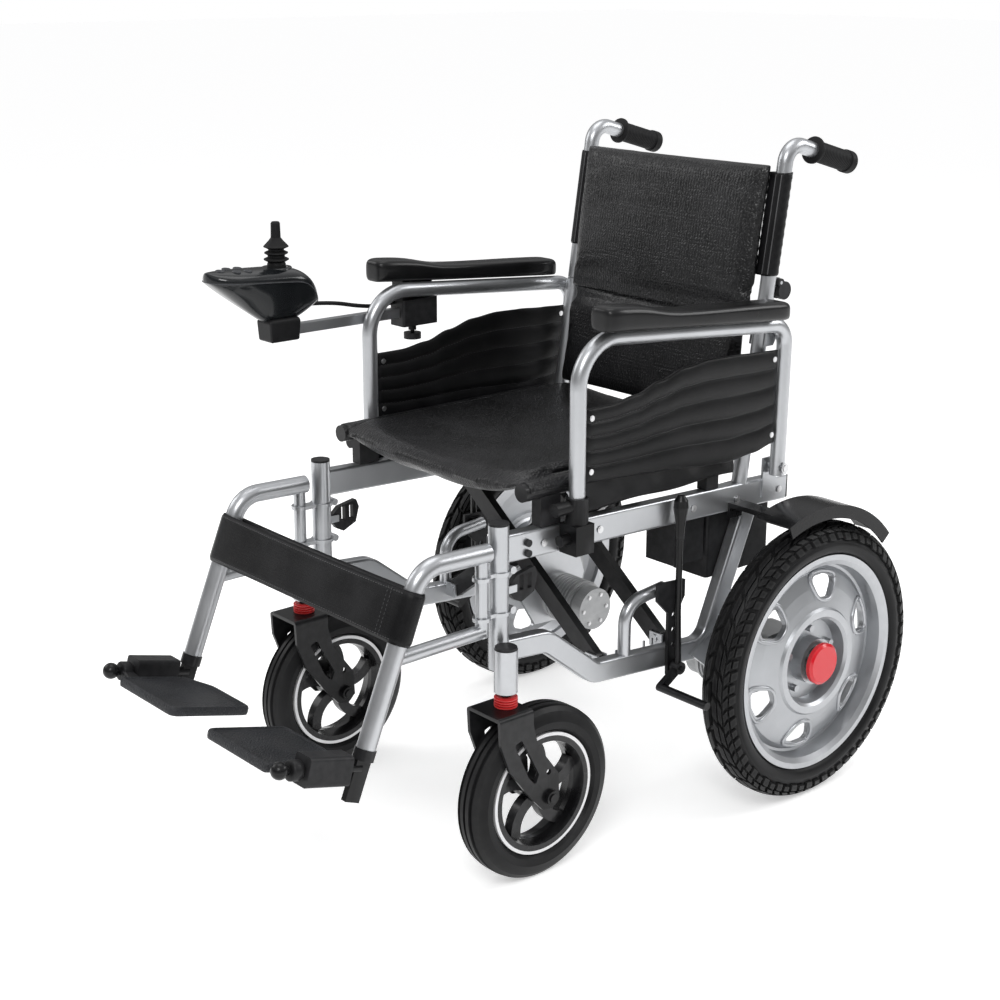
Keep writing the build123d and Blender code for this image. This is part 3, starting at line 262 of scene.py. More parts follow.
def finish(name, color, rough, metal=0.0, tone=0.25, swing=0.08, grain=700, bump=0.12, rub=0.0,
           rub_color=(0.5, 0.5, 0.5), dust=0.0, pattern=None, pattern_scale=400, pattern_bump=0.5,
           coat=0.0, specular=None, light=None, band=None):
    """A finish for one kind of piece. light is a second colour that the grain drifts to and that the raised
    parts of a pattern are painted towards as a painted highlight, and band is (second colour, mask maker) for
    a piece moulded in two colours."""
    mat = bpy.data.materials.new(name)
    mat.use_nodes = True
    tree = mat.node_tree
    shader = tree.nodes["Principled BSDF"]
    shader.inputs["Metallic"].default_value = metal
    shader.inputs["Coat Weight"].default_value = coat
    shader.inputs["Coat Roughness"].default_value = COAT_ROUGHNESS
    if specular is None:
        specular = DARK_GLOSS if max(color) < 0.03 else PALE_GLOSS
    shader.inputs["Specular IOR Level"].default_value = specular
    fine = place(tree, "grain", Scale=grain, Patch_Scale=14)
    second = light or tuple(min(1.0, c * (1 + tone) + 0.004) for c in color)
    drift = maths(tree, "MULTIPLY", maths(tree, "SUBTRACT", fine.outputs["Tone"], 0.38), 3.2, True)
    paint = blend_color(tree, drift, color, second)
    if band:
        paint = blend_color(tree, band[1](tree), paint, band[0])
    relief = add(tree, "ShaderNodeBump")
    relief.inputs["Strength"].default_value = bump
    relief.inputs["Distance"].default_value = GRAIN_STEP
    wire(tree, fine.outputs["Height"], relief.inputs["Height"])
    normal = relief.outputs[0]
    if pattern:
        cloth = place(tree, pattern, Scale=pattern_scale)
        deep = add(tree, "ShaderNodeBump")
        deep.inputs["Strength"].default_value = pattern_bump
        deep.inputs["Distance"].default_value = CLOTH_STEP
        wire(tree, cloth.outputs["Height"], deep.inputs["Height"])
        wire(tree, normal, deep.inputs["Normal"])
        normal = deep.outputs[0]
        # Painted highlight: the raised parts of the pattern are painted towards the lighter second colour.
        painted_highlight = maths(tree, "MULTIPLY", cloth.outputs["Height"], 0.5, True)
        paint = blend_color(tree, painted_highlight, paint, second)
    if rub:
        worn = place(tree, "edge_rub", Amount=rub, Scale=90)
        paint = blend_color(tree, worn.outputs["Mask"], paint, rub_color)
    if dust:
        settled = place(tree, "dust", Amount=dust)
        paint = blend_color(tree, settled.outputs["Mask"], paint, DUST_COLOR)
    wire(tree, paint, shader.inputs["Base Color"])
    uneven = maths(tree, "MULTIPLY", maths(tree, "SUBTRACT", fine.outputs["Tone"], 0.5), swing * 3)
    wire(tree, maths(tree, "ADD", uneven, rough, True), shader.inputs["Roughness"])
    wire(tree, normal, shader.inputs["Normal"])
    return mat


def across_mask(tree, x_from):
    """1 where the piece is further out from the chair's middle than x_from millimetres."""
    coords = add(tree, "ShaderNodeTexCoord")
    parts = add(tree, "ShaderNodeSeparateXYZ")
    wire(tree, coords.outputs["Object"], parts.inputs[0])
    out = maths(tree, "ABSOLUTE", parts.outputs["X"])
    return maths(tree, "GREATER_THAN", out, x_from * MM)


def ring_mask(tree, y, z, r_from):
    """1 further than r_from millimetres from the line along X through y, z."""
    coords = add(tree, "ShaderNodeTexCoord")
    parts = add(tree, "ShaderNodeSeparateXYZ")
    wire(tree, coords.outputs["Object"], parts.inputs[0])
    dy = maths(tree, "SUBTRACT", parts.outputs["Y"], (y + AXLE_Y) * MM)
    dz = maths(tree, "SUBTRACT", parts.outputs["Z"], z * MM)
    squares = maths(tree, "ADD", maths(tree, "MULTIPLY", dy, dy), maths(tree, "MULTIPLY", dz, dz))
    return maths(tree, "GREATER_THAN", maths(tree, "SQRT", squares), r_from * MM)


BLACK = (0.0035, 0.0035, 0.0039)
CLOTH_BLACK = (0.003, 0.003, 0.0035)
VINYL_BLACK = (0.003, 0.003, 0.0034)
FINISHES = {
    "bright_tube": finish(
        "satin_silver_tube", (0.44, 0.45, 0.465), 0.33, 0.9, tone=0.10, swing=0.05, grain=900, bump=0.05,
        rub=0.12, rub_color=(0.70, 0.70, 0.71), dust=0.02),
    "rim_silver": finish(
        "pressed_rim_silver", (0.38, 0.39, 0.405), 0.36, 0.85, tone=0.10, swing=0.04, grain=1200,
        bump=0.05, rub=0.2, rub_color=(0.75, 0.75, 0.77), dust=0.02),
    "motor_alloy": finish(
        "cast_motor_alloy", (0.30, 0.305, 0.31), 0.45, 0.8, grain=500, bump=0.5, rub=0.4,
        rub_color=(0.75, 0.75, 0.75), dust=0.15),
    "black_metal": finish(
        "black_powder_coat", BLACK, 0.32, tone=0.4, swing=0.04, grain=1600, bump=0.16, rub=0.25,
        rub_color=(0.06, 0.06, 0.063), coat=0.15),
    "black_plastic": finish(
        "black_moulding", BLACK, 0.40, tone=0.5, grain=1400, bump=0.3, rub=0.4,
        rub_color=(0.05, 0.05, 0.053), dust=0.008),
    "gloss_black": finish(
        "controller_shell_gloss", (0.006, 0.007, 0.008), 0.20, tone=0.4, grain=1000, bump=0.04, rub=0.3,
        rub_color=(0.06, 0.06, 0.064), coat=0.5),
    "black_rubber": finish(
        "black_rubber", BLACK, 0.55, tone=0.6, grain=900, bump=0.3, rub=0.4,
        rub_color=(0.04, 0.04, 0.04), dust=0.008),
    "tyre_rubber": finish(
        "tyre_rubber", (0.005, 0.005, 0.0055), 0.44, tone=0.6, grain=700, bump=0.35, rub=0.6,
        rub_color=(0.03, 0.03, 0.03), dust=0.01),
    "red_rubber": finish(
        "red_spring_rubber", (0.55, 0.012, 0.015), 0.38, tone=0.3, grain=900, bump=0.2, rub=0.4,
        rub_color=(0.75, 0.15, 0.14)),
    "red_plastic": finish(
        "red_cap", (0.012, 0.012, 0.012), 0.22, tone=0.2, grain=900, bump=0.04, coat=0.7, rub=0.2,
        rub_color=(0.8, 0.3, 0.3),
        band=((0.62, 0.006, 0.016), lambda tree: across_mask(tree, WHEEL_X + RED_FROM))),
    "black_vinyl": finish(
        "moulded_arm_skin", BLACK, 0.33, tone=0.5, grain=1500, bump=0.2, pattern="cells",
        pattern_scale=900, pattern_bump=0.12, rub=0.3, rub_color=(0.05, 0.05, 0.05), coat=0.2),
    "black_fabric": finish(
        "crinkled_cloth", (0.0022, 0.0022, 0.0026), 0.31, tone=0.9, swing=0.03, grain=1200, bump=0.2,
        # light is the painted highlight colour of the raised threads, and also the colour the grain drifts
        # to.
        light=(0.011, 0.011, 0.012), pattern="crinkle", pattern_scale=62, pattern_bump=1.0,
        specular=0.42),
}
CASTER_RIM = finish(
    "black_and_silver_spokes", (0.004, 0.004, 0.0045), 0.28, tone=0.4, grain=900, bump=0.08, rub=0.12,
    rub_color=(0.16, 0.16, 0.165), coat=0.25,
    band=((0.80, 0.80, 0.81), lambda tree: ring_mask(tree, CASTER_Y, CASTER_Z, SILVER_FROM)))
PANEL_SKIN = finish(
    "panel_vinyl", VINYL_BLACK, 0.34, tone=0.6, grain=1300, bump=0.25, pattern="cells",
    pattern_scale=700, pattern_bump=0.2, rub=0.15, rub_color=(0.03, 0.03, 0.03))
SLEEVE_CLOTH = finish(
    "ribbed_pocket_cloth", CLOTH_BLACK, 0.34, tone=0.8, grain=1200, bump=0.3, pattern="cells",
    pattern_scale=1100, pattern_bump=0.2)
WEBBING = finish(
    "strap_leathercloth", CLOTH_BLACK, 0.34, tone=0.9, grain=1300, bump=0.3,
    # light is the painted highlight colour of the raised threads, and also the colour the grain drifts to.
    light=(0.012, 0.012, 0.013), pattern="crinkle", pattern_scale=190, pattern_bump=0.3)
THREAD = finish("black_thread", (0.05, 0.05, 0.052), 0.55, tone=0.6, grain=2400, bump=0.5)
TREAD_PLATE = finish(
    "pebbled_tread", (0.014, 0.015, 0.017), 0.46, tone=0.5, grain=900, bump=0.3, pattern="cells",
    pattern_scale=240, pattern_bump=1.0, rub=0.5, rub_color=(0.07, 0.07, 0.075), dust=0.02)
BOLT_STEEL = finish(
    "bolt_steel", (0.60, 0.60, 0.61), 0.30, 1.0, tone=0.1, grain=1500, bump=0.2, rub=0.3,
    rub_color=(0.8, 0.8, 0.8), dust=0.05)
KEY_MEMBRANE = finish(
    "keypad_membrane", (0.022, 0.024, 0.027), 0.38, tone=0.4, grain=1500, bump=0.1, rub=0.4,
    rub_color=(0.15, 0.15, 0.16))
MUDGUARD = finish(
    "mudguard_gloss", VINYL_BLACK, 0.24, tone=0.4, swing=0.03, grain=1100, bump=0.05, rub=0.1,
    rub_color=(0.06, 0.06, 0.063), coat=0.12, specular=0.12)


def dress_frame():
    """Give every CAD node the finish of its record slot, but the caster rims and fenders finishes of their
    own.
    """
    for row in frame["record"]["subparts"]:
        node = frame["nodes"][row["node"]]
        mat = FINISHES[row["material_slot"]]
        if row["node"].endswith("caster_rim"):
            mat = CASTER_RIM
        if row["node"].endswith("fender"):
            mat = MUDGUARD
        node.data.materials.clear()
        node.data.materials.append(mat)


# ---- mesh helpers ----
def new_piece(name, mesh, mat, smooth=True):
    piece = bpy.data.objects.new(name, mesh)
    bpy.context.collection.objects.link(piece)
    mesh.materials.clear()
    mesh.materials.append(mat)
    if smooth:
        mesh.polygons.foreach_set("use_smooth", [True] * len(mesh.polygons))
    mesh.update()
    return piece


def mesh_from(name, points, faces):
    """A mesh from millimetre points, with its normals turned outwards."""
    mesh = bpy.data.meshes.new(name)
    mesh.from_pydata([at(*p) for p in points], [], faces)
    shell = bmesh.new()
    shell.from_mesh(mesh)
    bmesh.ops.remove_doubles(shell, verts=shell.verts, dist=1e-6)
    bmesh.ops.recalc_face_normals(shell, faces=shell.faces)
    shell.to_mesh(mesh)
    shell.free()
    return mesh


def round_angles(count):
    """The angles of count equal steps round a circle."""
    return [2 * pi * k / count for k in range(count)]


def band_faces(loops, links):
    """Four-sided faces between each loop of points and the next, for this many links."""
    count = len(loops[0])
    faces = []
    for i in range(links):
        n = (i + 1) % len(loops)
        for j in range(count):
            k = (j + 1) % count
            faces.append((i * count + j, i * count + k, n * count + k, n * count + j))
    return faces


def loops_mesh(name, loops):
    """Skin a list of equal closed loops of points, with a fan on each end."""
    count = len(loops[0])
    points = [p for loop in loops for p in loop]
    faces = band_faces(loops, len(loops) - 1)
    for i in (0, len(loops) - 1):
        points.append(tuple(sum(p[k] for p in loops[i]) / count for k in range(3)))
        for j in range(count):
            faces.append((i * count + j, i * count + (j + 1) % count, len(points) - 1))
    return mesh_from(name, points, faces)


def ring_skin(name, loops):
    """A closed skin that runs through every loop and back to the first."""
    return mesh_from(name, [p for loop in loops for p in loop], band_faces(loops, len(loops)))


def lathe(name, profile, x, y, z, turns):
    """Turn a closed (across, radius) profile about the line along X through y, z."""
    return ring_skin(name, [[(x + out, y + r * cos(a), z + r * sin(a)) for out, r in profile]
                            for a in round_angles(turns)])


def slab_faces(across, along):
    """Faces of a closed pad whose upper grid of points comes before its lower one."""
    row = along + 1
    lower = (across + 1) * row
    faces = []
    for i in range(across):
        for j in range(along):
            a = i * row + j
            faces.append((a, a + row, a + row + 1, a + 1))
            faces.append((lower + a, lower + a + 1, lower + a + row + 1, lower + a + row))
    rim = [i * row for i in range(across + 1)] + [across * row + j for j in range(1, along + 1)]
    rim += [i * row + along for i in range(across - 1, -1, -1)] + list(range(along - 1, 0, -1))
    for a, b in zip(rim, rim[1:] + rim[:1]):
        faces.append((a, b, lower + b, lower + a))
    return faces


def slab(name, top, under, across, along):
    """A closed pad between two surfaces, each a function of u and v from 0 to 1."""
    points = [surface(i / across, j / along) for surface in (top, under)
              for i in range(across + 1) for j in range(along + 1)]
    return mesh_from(name, points, slab_faces(across, along))


def smooth_line(name, points, cyclic=False, steps=8):
    """An object holding one smooth NURBS line with these control points."""
    curve = bpy.data.curves.new(name, "CURVE")
    curve.dimensions = "3D"
    line = curve.splines.new("NURBS")
    line.points.add(len(points) - 1)
    for point, mark in zip(line.points, points):
        point.co = (*at(*mark), 1)
    line.order_u = 3
    line.use_endpoint_u = not cyclic
    line.use_cyclic_u = cyclic
    curve.resolution_u = steps
    holder = bpy.data.objects.new(name + "_line", curve)
    bpy.context.collection.objects.link(holder)
    return holder


def baked(holder):
    """The plain mesh that a holder's line and modifiers give. The holder goes."""
    graph = bpy.context.evaluated_depsgraph_get()
    graph.update()
    mesh = bpy.data.meshes.new_from_object(holder.evaluated_get(graph))
    bpy.data.objects.remove(holder)
    return mesh


def rope(name, points, radius, mat, cyclic=False, smooth_steps=8, sides=4):
    """A round bar along a smooth line through control points, as a mesh."""
    holder = smooth_line(name, points, cyclic, smooth_steps)
    holder.data.bevel_depth = radius * MM
    holder.data.bevel_resolution = sides
    holder.data.use_fill_caps = True
    mesh = baked(holder)
    mesh.name = name
    return new_piece(name, mesh, mat)


def mirrored(piece, name):
    """The same piece on the other side of the chair."""
    mesh = piece.data.copy()
    mesh.transform(Matrix.Scale(-1, 4, Vector((1, 0, 0))))
    mesh.flip_normals()
    other = bpy.data.objects.new(name, mesh)
    bpy.context.collection.objects.link(other)
    return other


def soften(piece):
    step = piece.modifiers.new("smooth", "SUBSURF")
    step.levels = 1
    step.render_levels = 1
    return piece


def pair(make, name, body, replaces=None):
    """Make the left piece, mirror it to the right, and hang each on its own body."""
    pieces = []
    left = make(f"left_{name}")
    for side, sign in SIDES:
        piece = left if sign > 0 else mirrored(left, f"right_{name}")
        if sign < 0:
            for step in left.modifiers:
                if step.type == "SUBSURF":
                    soften(piece)
        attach(piece, body.format(side=side))
        if replaces:
            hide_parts(*[n.format(side=side) for n in replaces])
        pieces.append(piece)
    return pieces


# ---- repeated pieces, made with Geometry Nodes ----
def geometry_tree(name, inputs):
    tree = bpy.data.node_groups.new(name, "GeometryNodeTree")
    tree.interface.new_socket(name="Geometry", in_out="INPUT", socket_type="NodeSocketGeometry")
    for label, kind in inputs:
        tree.interface.new_socket(name=label, in_out="INPUT", socket_type=kind)
    tree.interface.new_socket(name="Geometry", in_out="OUTPUT", socket_type="NodeSocketGeometry")
    return tree, add(tree, "NodeGroupInput"), add(tree, "NodeGroupOutput")


def end_tree(tree, gin, gout, instances):
    real = add(tree, "GeometryNodeRealizeInstances")
    painted = add(tree, "GeometryNodeSetMaterial")
    wire(tree, instances, real.inputs[0])
    wire(tree, real.outputs[0], painted.inputs["Geometry"])
    wire(tree, gin.outputs["Finish"], painted.inputs["Material"])
    wire(tree, painted.outputs[0], gout.inputs[0])
    return tree


def around_tree():
    """Repeats the piece it is given round the X axis."""
    tree, gin, gout = geometry_tree("repeat_round_axle", (
        ("Count", "NodeSocketInt"), ("Finish", "NodeSocketMaterial")))
    spots = add(tree, "GeometryNodePoints")
    wire(tree, gin.outputs["Count"], spots.inputs["Count"])
    index = add(tree, "GeometryNodeInputIndex")
    share = add(tree, "ShaderNodeMath", operation="DIVIDE")
    wire(tree, index.outputs[0], share.inputs[0])
    wire(tree, gin.outputs["Count"], share.inputs[1])
    angle = add(tree, "ShaderNodeMath", operation="MULTIPLY")
    angle.inputs[1].default_value = 2 * pi
    wire(tree, share.outputs[0], angle.inputs[0])
    turn = add(tree, "ShaderNodeCombineXYZ")
    wire(tree, angle.outputs[0], turn.inputs["X"])
    copies = add(tree, "GeometryNodeInstanceOnPoints")
    wire(tree, spots.outputs[0], copies.inputs["Points"])
    wire(tree, gin.outputs["Geometry"], copies.inputs["Instance"])
    wire(tree, turn.outputs[0], copies.inputs["Rotation"])
    return end_tree(tree, gin, gout, copies.outputs[0])


def bolt_tree():
    """A flat-topped bolt head with the given number of sides, and a washer, on every point it is given."""
    tree, gin, gout = geometry_tree("bolt_heads", (
        ("Radius", "NodeSocketFloat"), ("Height", "NodeSocketFloat"), ("Sides", "NodeSocketInt"),
        ("Turn", "NodeSocketVector"), ("Finish", "NodeSocketMaterial")))
    head = add(tree, "GeometryNodeMeshCylinder", fill_type="NGON")
    wire(tree, gin.outputs["Sides"], head.inputs["Vertices"])
    small = add(tree, "ShaderNodeMath", operation="MULTIPLY")
    small.inputs[1].default_value = 0.72
    wire(tree, gin.outputs["Radius"], small.inputs[0])
    wire(tree, small.outputs[0], head.inputs["Radius"])
    wire(tree, gin.outputs["Height"], head.inputs["Depth"])
    washer = add(tree, "GeometryNodeMeshCylinder", fill_type="NGON")
    washer.inputs["Vertices"].default_value = 24
    wire(tree, gin.outputs["Radius"], washer.inputs["Radius"])
    thin = add(tree, "ShaderNodeMath", operation="MULTIPLY")
    thin.inputs[1].default_value = 0.4
    wire(tree, gin.outputs["Height"], thin.inputs[0])
    wire(tree, thin.outputs[0], washer.inputs["Depth"])
    both = add(tree, "GeometryNodeJoinGeometry")
    wire(tree, head.outputs["Mesh"], both.inputs[0])
    wire(tree, washer.outputs["Mesh"], both.inputs[0])
    spots = add(tree, "GeometryNodeMeshToPoints")
    wire(tree, gin.outputs["Geometry"], spots.inputs["Mesh"])
    copies = add(tree, "GeometryNodeInstanceOnPoints")
    wire(tree, spots.outputs[0], copies.inputs["Points"])
    wire(tree, both.outputs[0], copies.inputs["Instance"])
    wire(tree, gin.outputs["Turn"], copies.inputs["Rotation"])
    return end_tree(tree, gin, gout, copies.outputs[0])


def stitch_tree():
    """Short rounded stitches along the line it is given."""
    tree, gin, gout = geometry_tree("stitches", (
        ("Spacing", "NodeSocketFloat"), ("Length", "NodeSocketFloat"), ("Thread", "NodeSocketFloat"),
        ("Finish", "NodeSocketMaterial")))
    line = add(tree, "GeometryNodeMeshToCurve")
    wire(tree, gin.outputs["Geometry"], line.inputs[0])
    spots = add(tree, "GeometryNodeCurveToPoints", mode="LENGTH")
    wire(tree, line.outputs[0], spots.inputs["Curve"])
    wire(tree, gin.outputs["Spacing"], spots.inputs["Length"])
    thread = add(tree, "GeometryNodeMeshUVSphere")
    thread.inputs["Segments"].default_value = 6
    thread.inputs["Rings"].default_value = 4
    thread.inputs["Radius"].default_value = 0.5
    size = add(tree, "ShaderNodeCombineXYZ")
    wire(tree, gin.outputs["Thread"], size.inputs["X"])
    wire(tree, gin.outputs["Thread"], size.inputs["Y"])
    wire(tree, gin.outputs["Length"], size.inputs["Z"])
    copies = add(tree, "GeometryNodeInstanceOnPoints")
    wire(tree, spots.outputs["Points"], copies.inputs["Points"])
    wire(tree, thread.outputs["Mesh"], copies.inputs["Instance"])
    wire(tree, spots.outputs["Rotation"], copies.inputs["Rotation"])
    wire(tree, size.outputs[0], copies.inputs["Scale"])
    return end_tree(tree, gin, gout, copies.outputs[0])


TREES = {"around": around_tree(), "bolts": bolt_tree(), "stitches": stitch_tree()}


def grown(name, mesh, tree_name, mat, **values):
    """Run a geometry tree on a mesh and keep the result as a plain piece."""
    holder = bpy.data.objects.new(name + "_seed", mesh)
    bpy.context.collection.objects.link(holder)
    step = holder.modifiers.new("grow", "NODES")
    tree = TREES[tree_name]
    step.node_group = tree
    named = {s.name: s.identifier for s in tree.interface.items_tree if s.in_out == "INPUT"}
    step[named["Finish"]] = mat
    for key, value in values.items():
        step[named[key]] = value
    result = baked(holder)
    result.name = name
    return new_piece(name, result, mat, smooth=tree_name != "bolts")


def bolts(name, spots, radius, height, mat, sides=6):
    """Bolt heads whose axis is along X."""
    mesh = bpy.data.meshes.new(name)
    mesh.from_pydata([at(*p) for p in spots], [], [])
    return grown(name, mesh, "bolts", mat, Radius=radius * MM, Height=height * MM, Sides=sides,
                 Turn=(0, pi / 2, 0))


def stitches(name, lines, spacing, length, thread):
    """Rows of stitches along lines of points."""
    mesh = bpy.data.meshes.new(name)
    points, edges = [], []
    for line in lines:
        first = len(points)
        points += [at(*p) for p in line]
        edges += [(i, i + 1) for i in range(first, len(points) - 1)]
    mesh.from_pydata(points, edges, [])
    return grown(name, mesh, "stitches", THREAD, Spacing=spacing * MM, Length=length * MM,
                 Thread=thread * MM)


# ---- drive wheels ----
TREAD_W, TREAD_H, TREAD_N = 27.8, 32.0, 2.6
TREAD_DEPTH = 4.6
TREAD_COUNT = 34
WINDOWS = 6


def tread_at(lean, out):
    """Across and radius on the tread's rounded section, lean degrees from its middle and out from it."""
    a = radians(lean)
    side = 1 if a >= 0 else -1
    si, co = abs(sin(a)), abs(cos(a))
    x, q = TREAD_W * si ** (2 / TREAD_N), TREAD_H * co ** (2 / TREAD_N)
    nx, nq = si ** (2 - 2 / TREAD_N) / TREAD_W, co ** (2 - 2 / TREAD_N) / TREAD_H
    size = hypot(nx, nq)
    return side * (x + out * nx / size), TYRE_R - TREAD_H + q + out * nq / size


def tread_block(l0, l1, a0, a1, slant):
    """One tread block, between two leans across the tread and two angles round it."""
    columns, rows = 5, 3
    points = []
    for top in (1, 0):
        for i in range(columns + 1):
            for j in range(rows + 1):
                u, v = i / columns, j / rows
                shrink = 0.06 if top else 0.0
                u2, v2 = u + shrink * (1 - 2 * u), v + shrink * (1 - 2 * v)
                x, r = tread_at(l0 + (l1 - l0) * u2, 0.0 if top else -TREAD_DEPTH - 1.0)
                a = radians(a0 + (a1 - a0) * v2 + slant * u)
                points.append((x, r * cos(a), r * sin(a)))
    return points, slab_faces(columns, rows)


def tread(name):
    """All the tread of one tyre: paired middle blocks, slanted blocks and shoulder lugs."""
    pitch = 360 / TREAD_COUNT
    points, faces = [], []
    for sign in (1, -1):
        half = 0 if sign > 0 else pitch / 2
        for l0, l1, a0, a1, slant in (
            (3, 17, 0.3, pitch - 1.3, 2.6), (20, 33, 1.6, pitch - 0.1, 3.4),
            (37, 54, 2.4, pitch * 0.58, -2.4), (37, 52, pitch * 0.58 + 1.6, pitch + 1.0, -2.0),
            (57, 79, 0.4, pitch * 0.42, -1.2), (57, 74, pitch * 0.42 + 1.5, pitch - 1.2, -0.8),
        ):
            block_points, block_faces = tread_block(sign * l0, sign * l1, half + a0, half + a1, slant)
            first = len(points)
            points += block_points
            faces += [tuple(first + i for i in face) for face in block_faces]
    mesh = bpy.data.meshes.new(name)
    mesh.from_pydata([Vector(p) * MM for p in points], [], faces)
    shell = bmesh.new()
    shell.from_mesh(mesh)
    bmesh.ops.recalc_face_normals(shell, faces=shell.faces)
    shell.to_mesh(mesh)
    shell.free()
    piece = grown(name, mesh, "around", FINISHES["tyre_rubber"], Count=TREAD_COUNT)
    piece.data.polygons.foreach_set("use_smooth", [False] * len(piece.data.polygons))
    piece.data.transform(Matrix.Translation(at(WHEEL_X, 0, TYRE_R)))
    return piece


def tyre_casing(name):
    """The tyre under its tread, with a smooth raised band round each sidewall."""
    rim_r, bead = 159.0, 18.0
    wall = [(across, rim_r + out) for across, out in (
        (bead, -11), (bead, 0.5), (21, 1.6), (24.3, 4.6), (26.0, 9), (26.5, 13.5), (26.4, 17), (25.6, 17.6),
        (25.7, 19.0), (24.6, 21.4))]
    arch = [tread_at(76 - 152 * i / 18, -TREAD_DEPTH) for i in range(19)]
    profile = wall + arch + [(-x, r) for x, r in reversed(wall)]
    return new_piece(name, lathe(name, profile, WHEEL_X, 0, TYRE_R, 160), FINISHES["tyre_rubber"])


def disc_x(r):
    """Across position of the pressed disc's outer face at a radius, from the wheel's middle plane."""
    marks = [(80, 16.0), (92, 13.0), (110, 8.0), (130, 1.0), (137, -4.0)]
    for (r0, x0), (r1, x1) in zip(marks, marks[1:]):
        if r <= r1:
            return x0 + (x1 - x0) * (r - r0) / (r1 - r0)
    return marks[-1][1]


def window_lips(name):
    """Raised rounded beads round the six windows of the pressed disc."""
    outline = [(-13, 92), (0, 89.5), (13, 92), (22, 103), (29.5, 117), (27.5, 126), (14, 130), (0, 131),
               (-14, 130), (-27.5, 126), (-29.5, 117), (-22, 103)]
    lips = []
    for i in range(WINDOWS):
        a = radians(360 / WINDOWS * i - 10)
        points = []
        for side, up in outline:
            y = side * cos(a) - up * sin(a)
            z = side * sin(a) + up * cos(a)
            points.append((WHEEL_X + disc_x(hypot(side, up)) + 0.3, y, TYRE_R + z))
        lips.append(rope(f"{name}_{i}", points, 3.0, FINISHES["rim_silver"], cyclic=True,
                         smooth_steps=6, sides=3))
    return joined(name, lips)


def joined(name, pieces):
    """Make one piece of several, keeping their finishes."""
    target = pieces[0]
    with bpy.context.temp_override(active_object=target, object=target, selected_objects=pieces,
                                   selected_editable_objects=pieces):
        bpy.ops.object.join()
    target.name = name
    target.data.name = name
    return target


def drive_wheels():
    pair(tyre_casing, "tyre_casing", "{side}_drive_wheel", ["{side}_rear_tyre"])
    pair(tread, "tyre_tread", "{side}_drive_wheel")
    pair(window_lips, "window_lips", "{side}_drive_wheel")


# ---- upholstery ----
PUFF_PRESSURE = 4.0
PUFF_FRAMES = 14
HEM_BLEND = 0.02


def settle(piece, cap, voxel=0.006, still_below=None):
    """Puff a stuffed piece with cloth pressure, holding each point to within cap of where it was.
    A hem under the height still_below isn't stuffed, and keeps its shape."""
    remesh = piece.modifiers.new("even", "REMESH")
    remesh.mode = "VOXEL"
    remesh.voxel_size = voxel
    graph = bpy.context.evaluated_depsgraph_get()
    mesh = bpy.data.meshes.new_from_object(piece.evaluated_get(graph))
    piece.modifiers.clear()
    mat = piece.data.materials[0]
    piece.data = mesh
    mesh.materials.clear()
    mesh.materials.append(mat)
    start = [v.co.copy() for v in mesh.vertices]
    cloth = piece.modifiers.new("cloth", "CLOTH")
    cloth.settings.use_pressure = True
    cloth.settings.uniform_pressure_force = PUFF_PRESSURE
    cloth.settings.effector_weights.gravity = 0
    cloth.settings.quality = 4
    cloth.collision_settings.use_collision = False
    scene = bpy.context.scene
    for number in range(1, PUFF_FRAMES + 1):
        scene.frame_set(number)
    graph = bpy.context.evaluated_depsgraph_get()
    puffed = bpy.data.meshes.new_from_object(piece.evaluated_get(graph))
    piece.modifiers.clear()
    for vertex, before in zip(puffed.vertices, start):
        move = vertex.co - before
        most = cap
        if still_below is not None:
            most = cap * min(1.0, max(0.0, (before.z - still_below) / HEM_BLEND))
        if move.length > most:
            vertex.co = before + move * (most / move.length)
    piece.data = puffed
    puffed.materials.clear()
    puffed.materials.append(mat)
    puffed.polygons.foreach_set("use_smooth", [True] * len(puffed.polygons))
    scene.frame_set(1)
    return soften(piece)


def edge_round(u, share):
    """0 at both ends of u from 0 to 1, rising round over a share of it to 1."""
    near = min(u, 1 - u) / share
    if near >= 1:
        return 1.0
    return (1 - (1 - near) ** 2) ** 0.5


SEAT_TUBE_X = FRAME_X + 0.5


def seat():
    """Sling seat cushion, dished between the seat tubes, with a rolled front."""
    front, rear, half = -470.0, -22.0, 192.0

    def height(u, v):
        x = (2 * u - 1)
        dish = 10.0 * (1 - x * x)
        fall = 5.0 * exp(-v * 16)
        return 535.5 - dish - fall

    def narrow(v):
        return half if v < 0.86 else 180.5

    def top(u, v):
        swell = edge_round(u, 0.05) * edge_round(v, 0.035)
        return ((2 * u - 1) * narrow(v), front + (rear - front) * v, height(u, v) - 8 + 9 * swell)

    def under(u, v):
        swell = edge_round(u, 0.05) * edge_round(v, 0.035)
        sag = 17 * (1 - (2 * u - 1) ** 4) * edge_round(v, 0.06)
        reach = min(narrow(v), 182.6 if swell > 0.02 else 192)
        z = height(u, v) - 8 + 3 * (1 - swell) - sag * swell
        return ((2 * u - 1) * reach, front + (rear - front) * v, z)

    pad = slab("seat_cushion", top, under, 44, 52)
    piece = new_piece("seat_cushion", pad, FINISHES["black_fabric"])
    settle(piece, 0.004)
    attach(piece, "seat")
    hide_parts("seat_pad")
    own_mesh(piece)


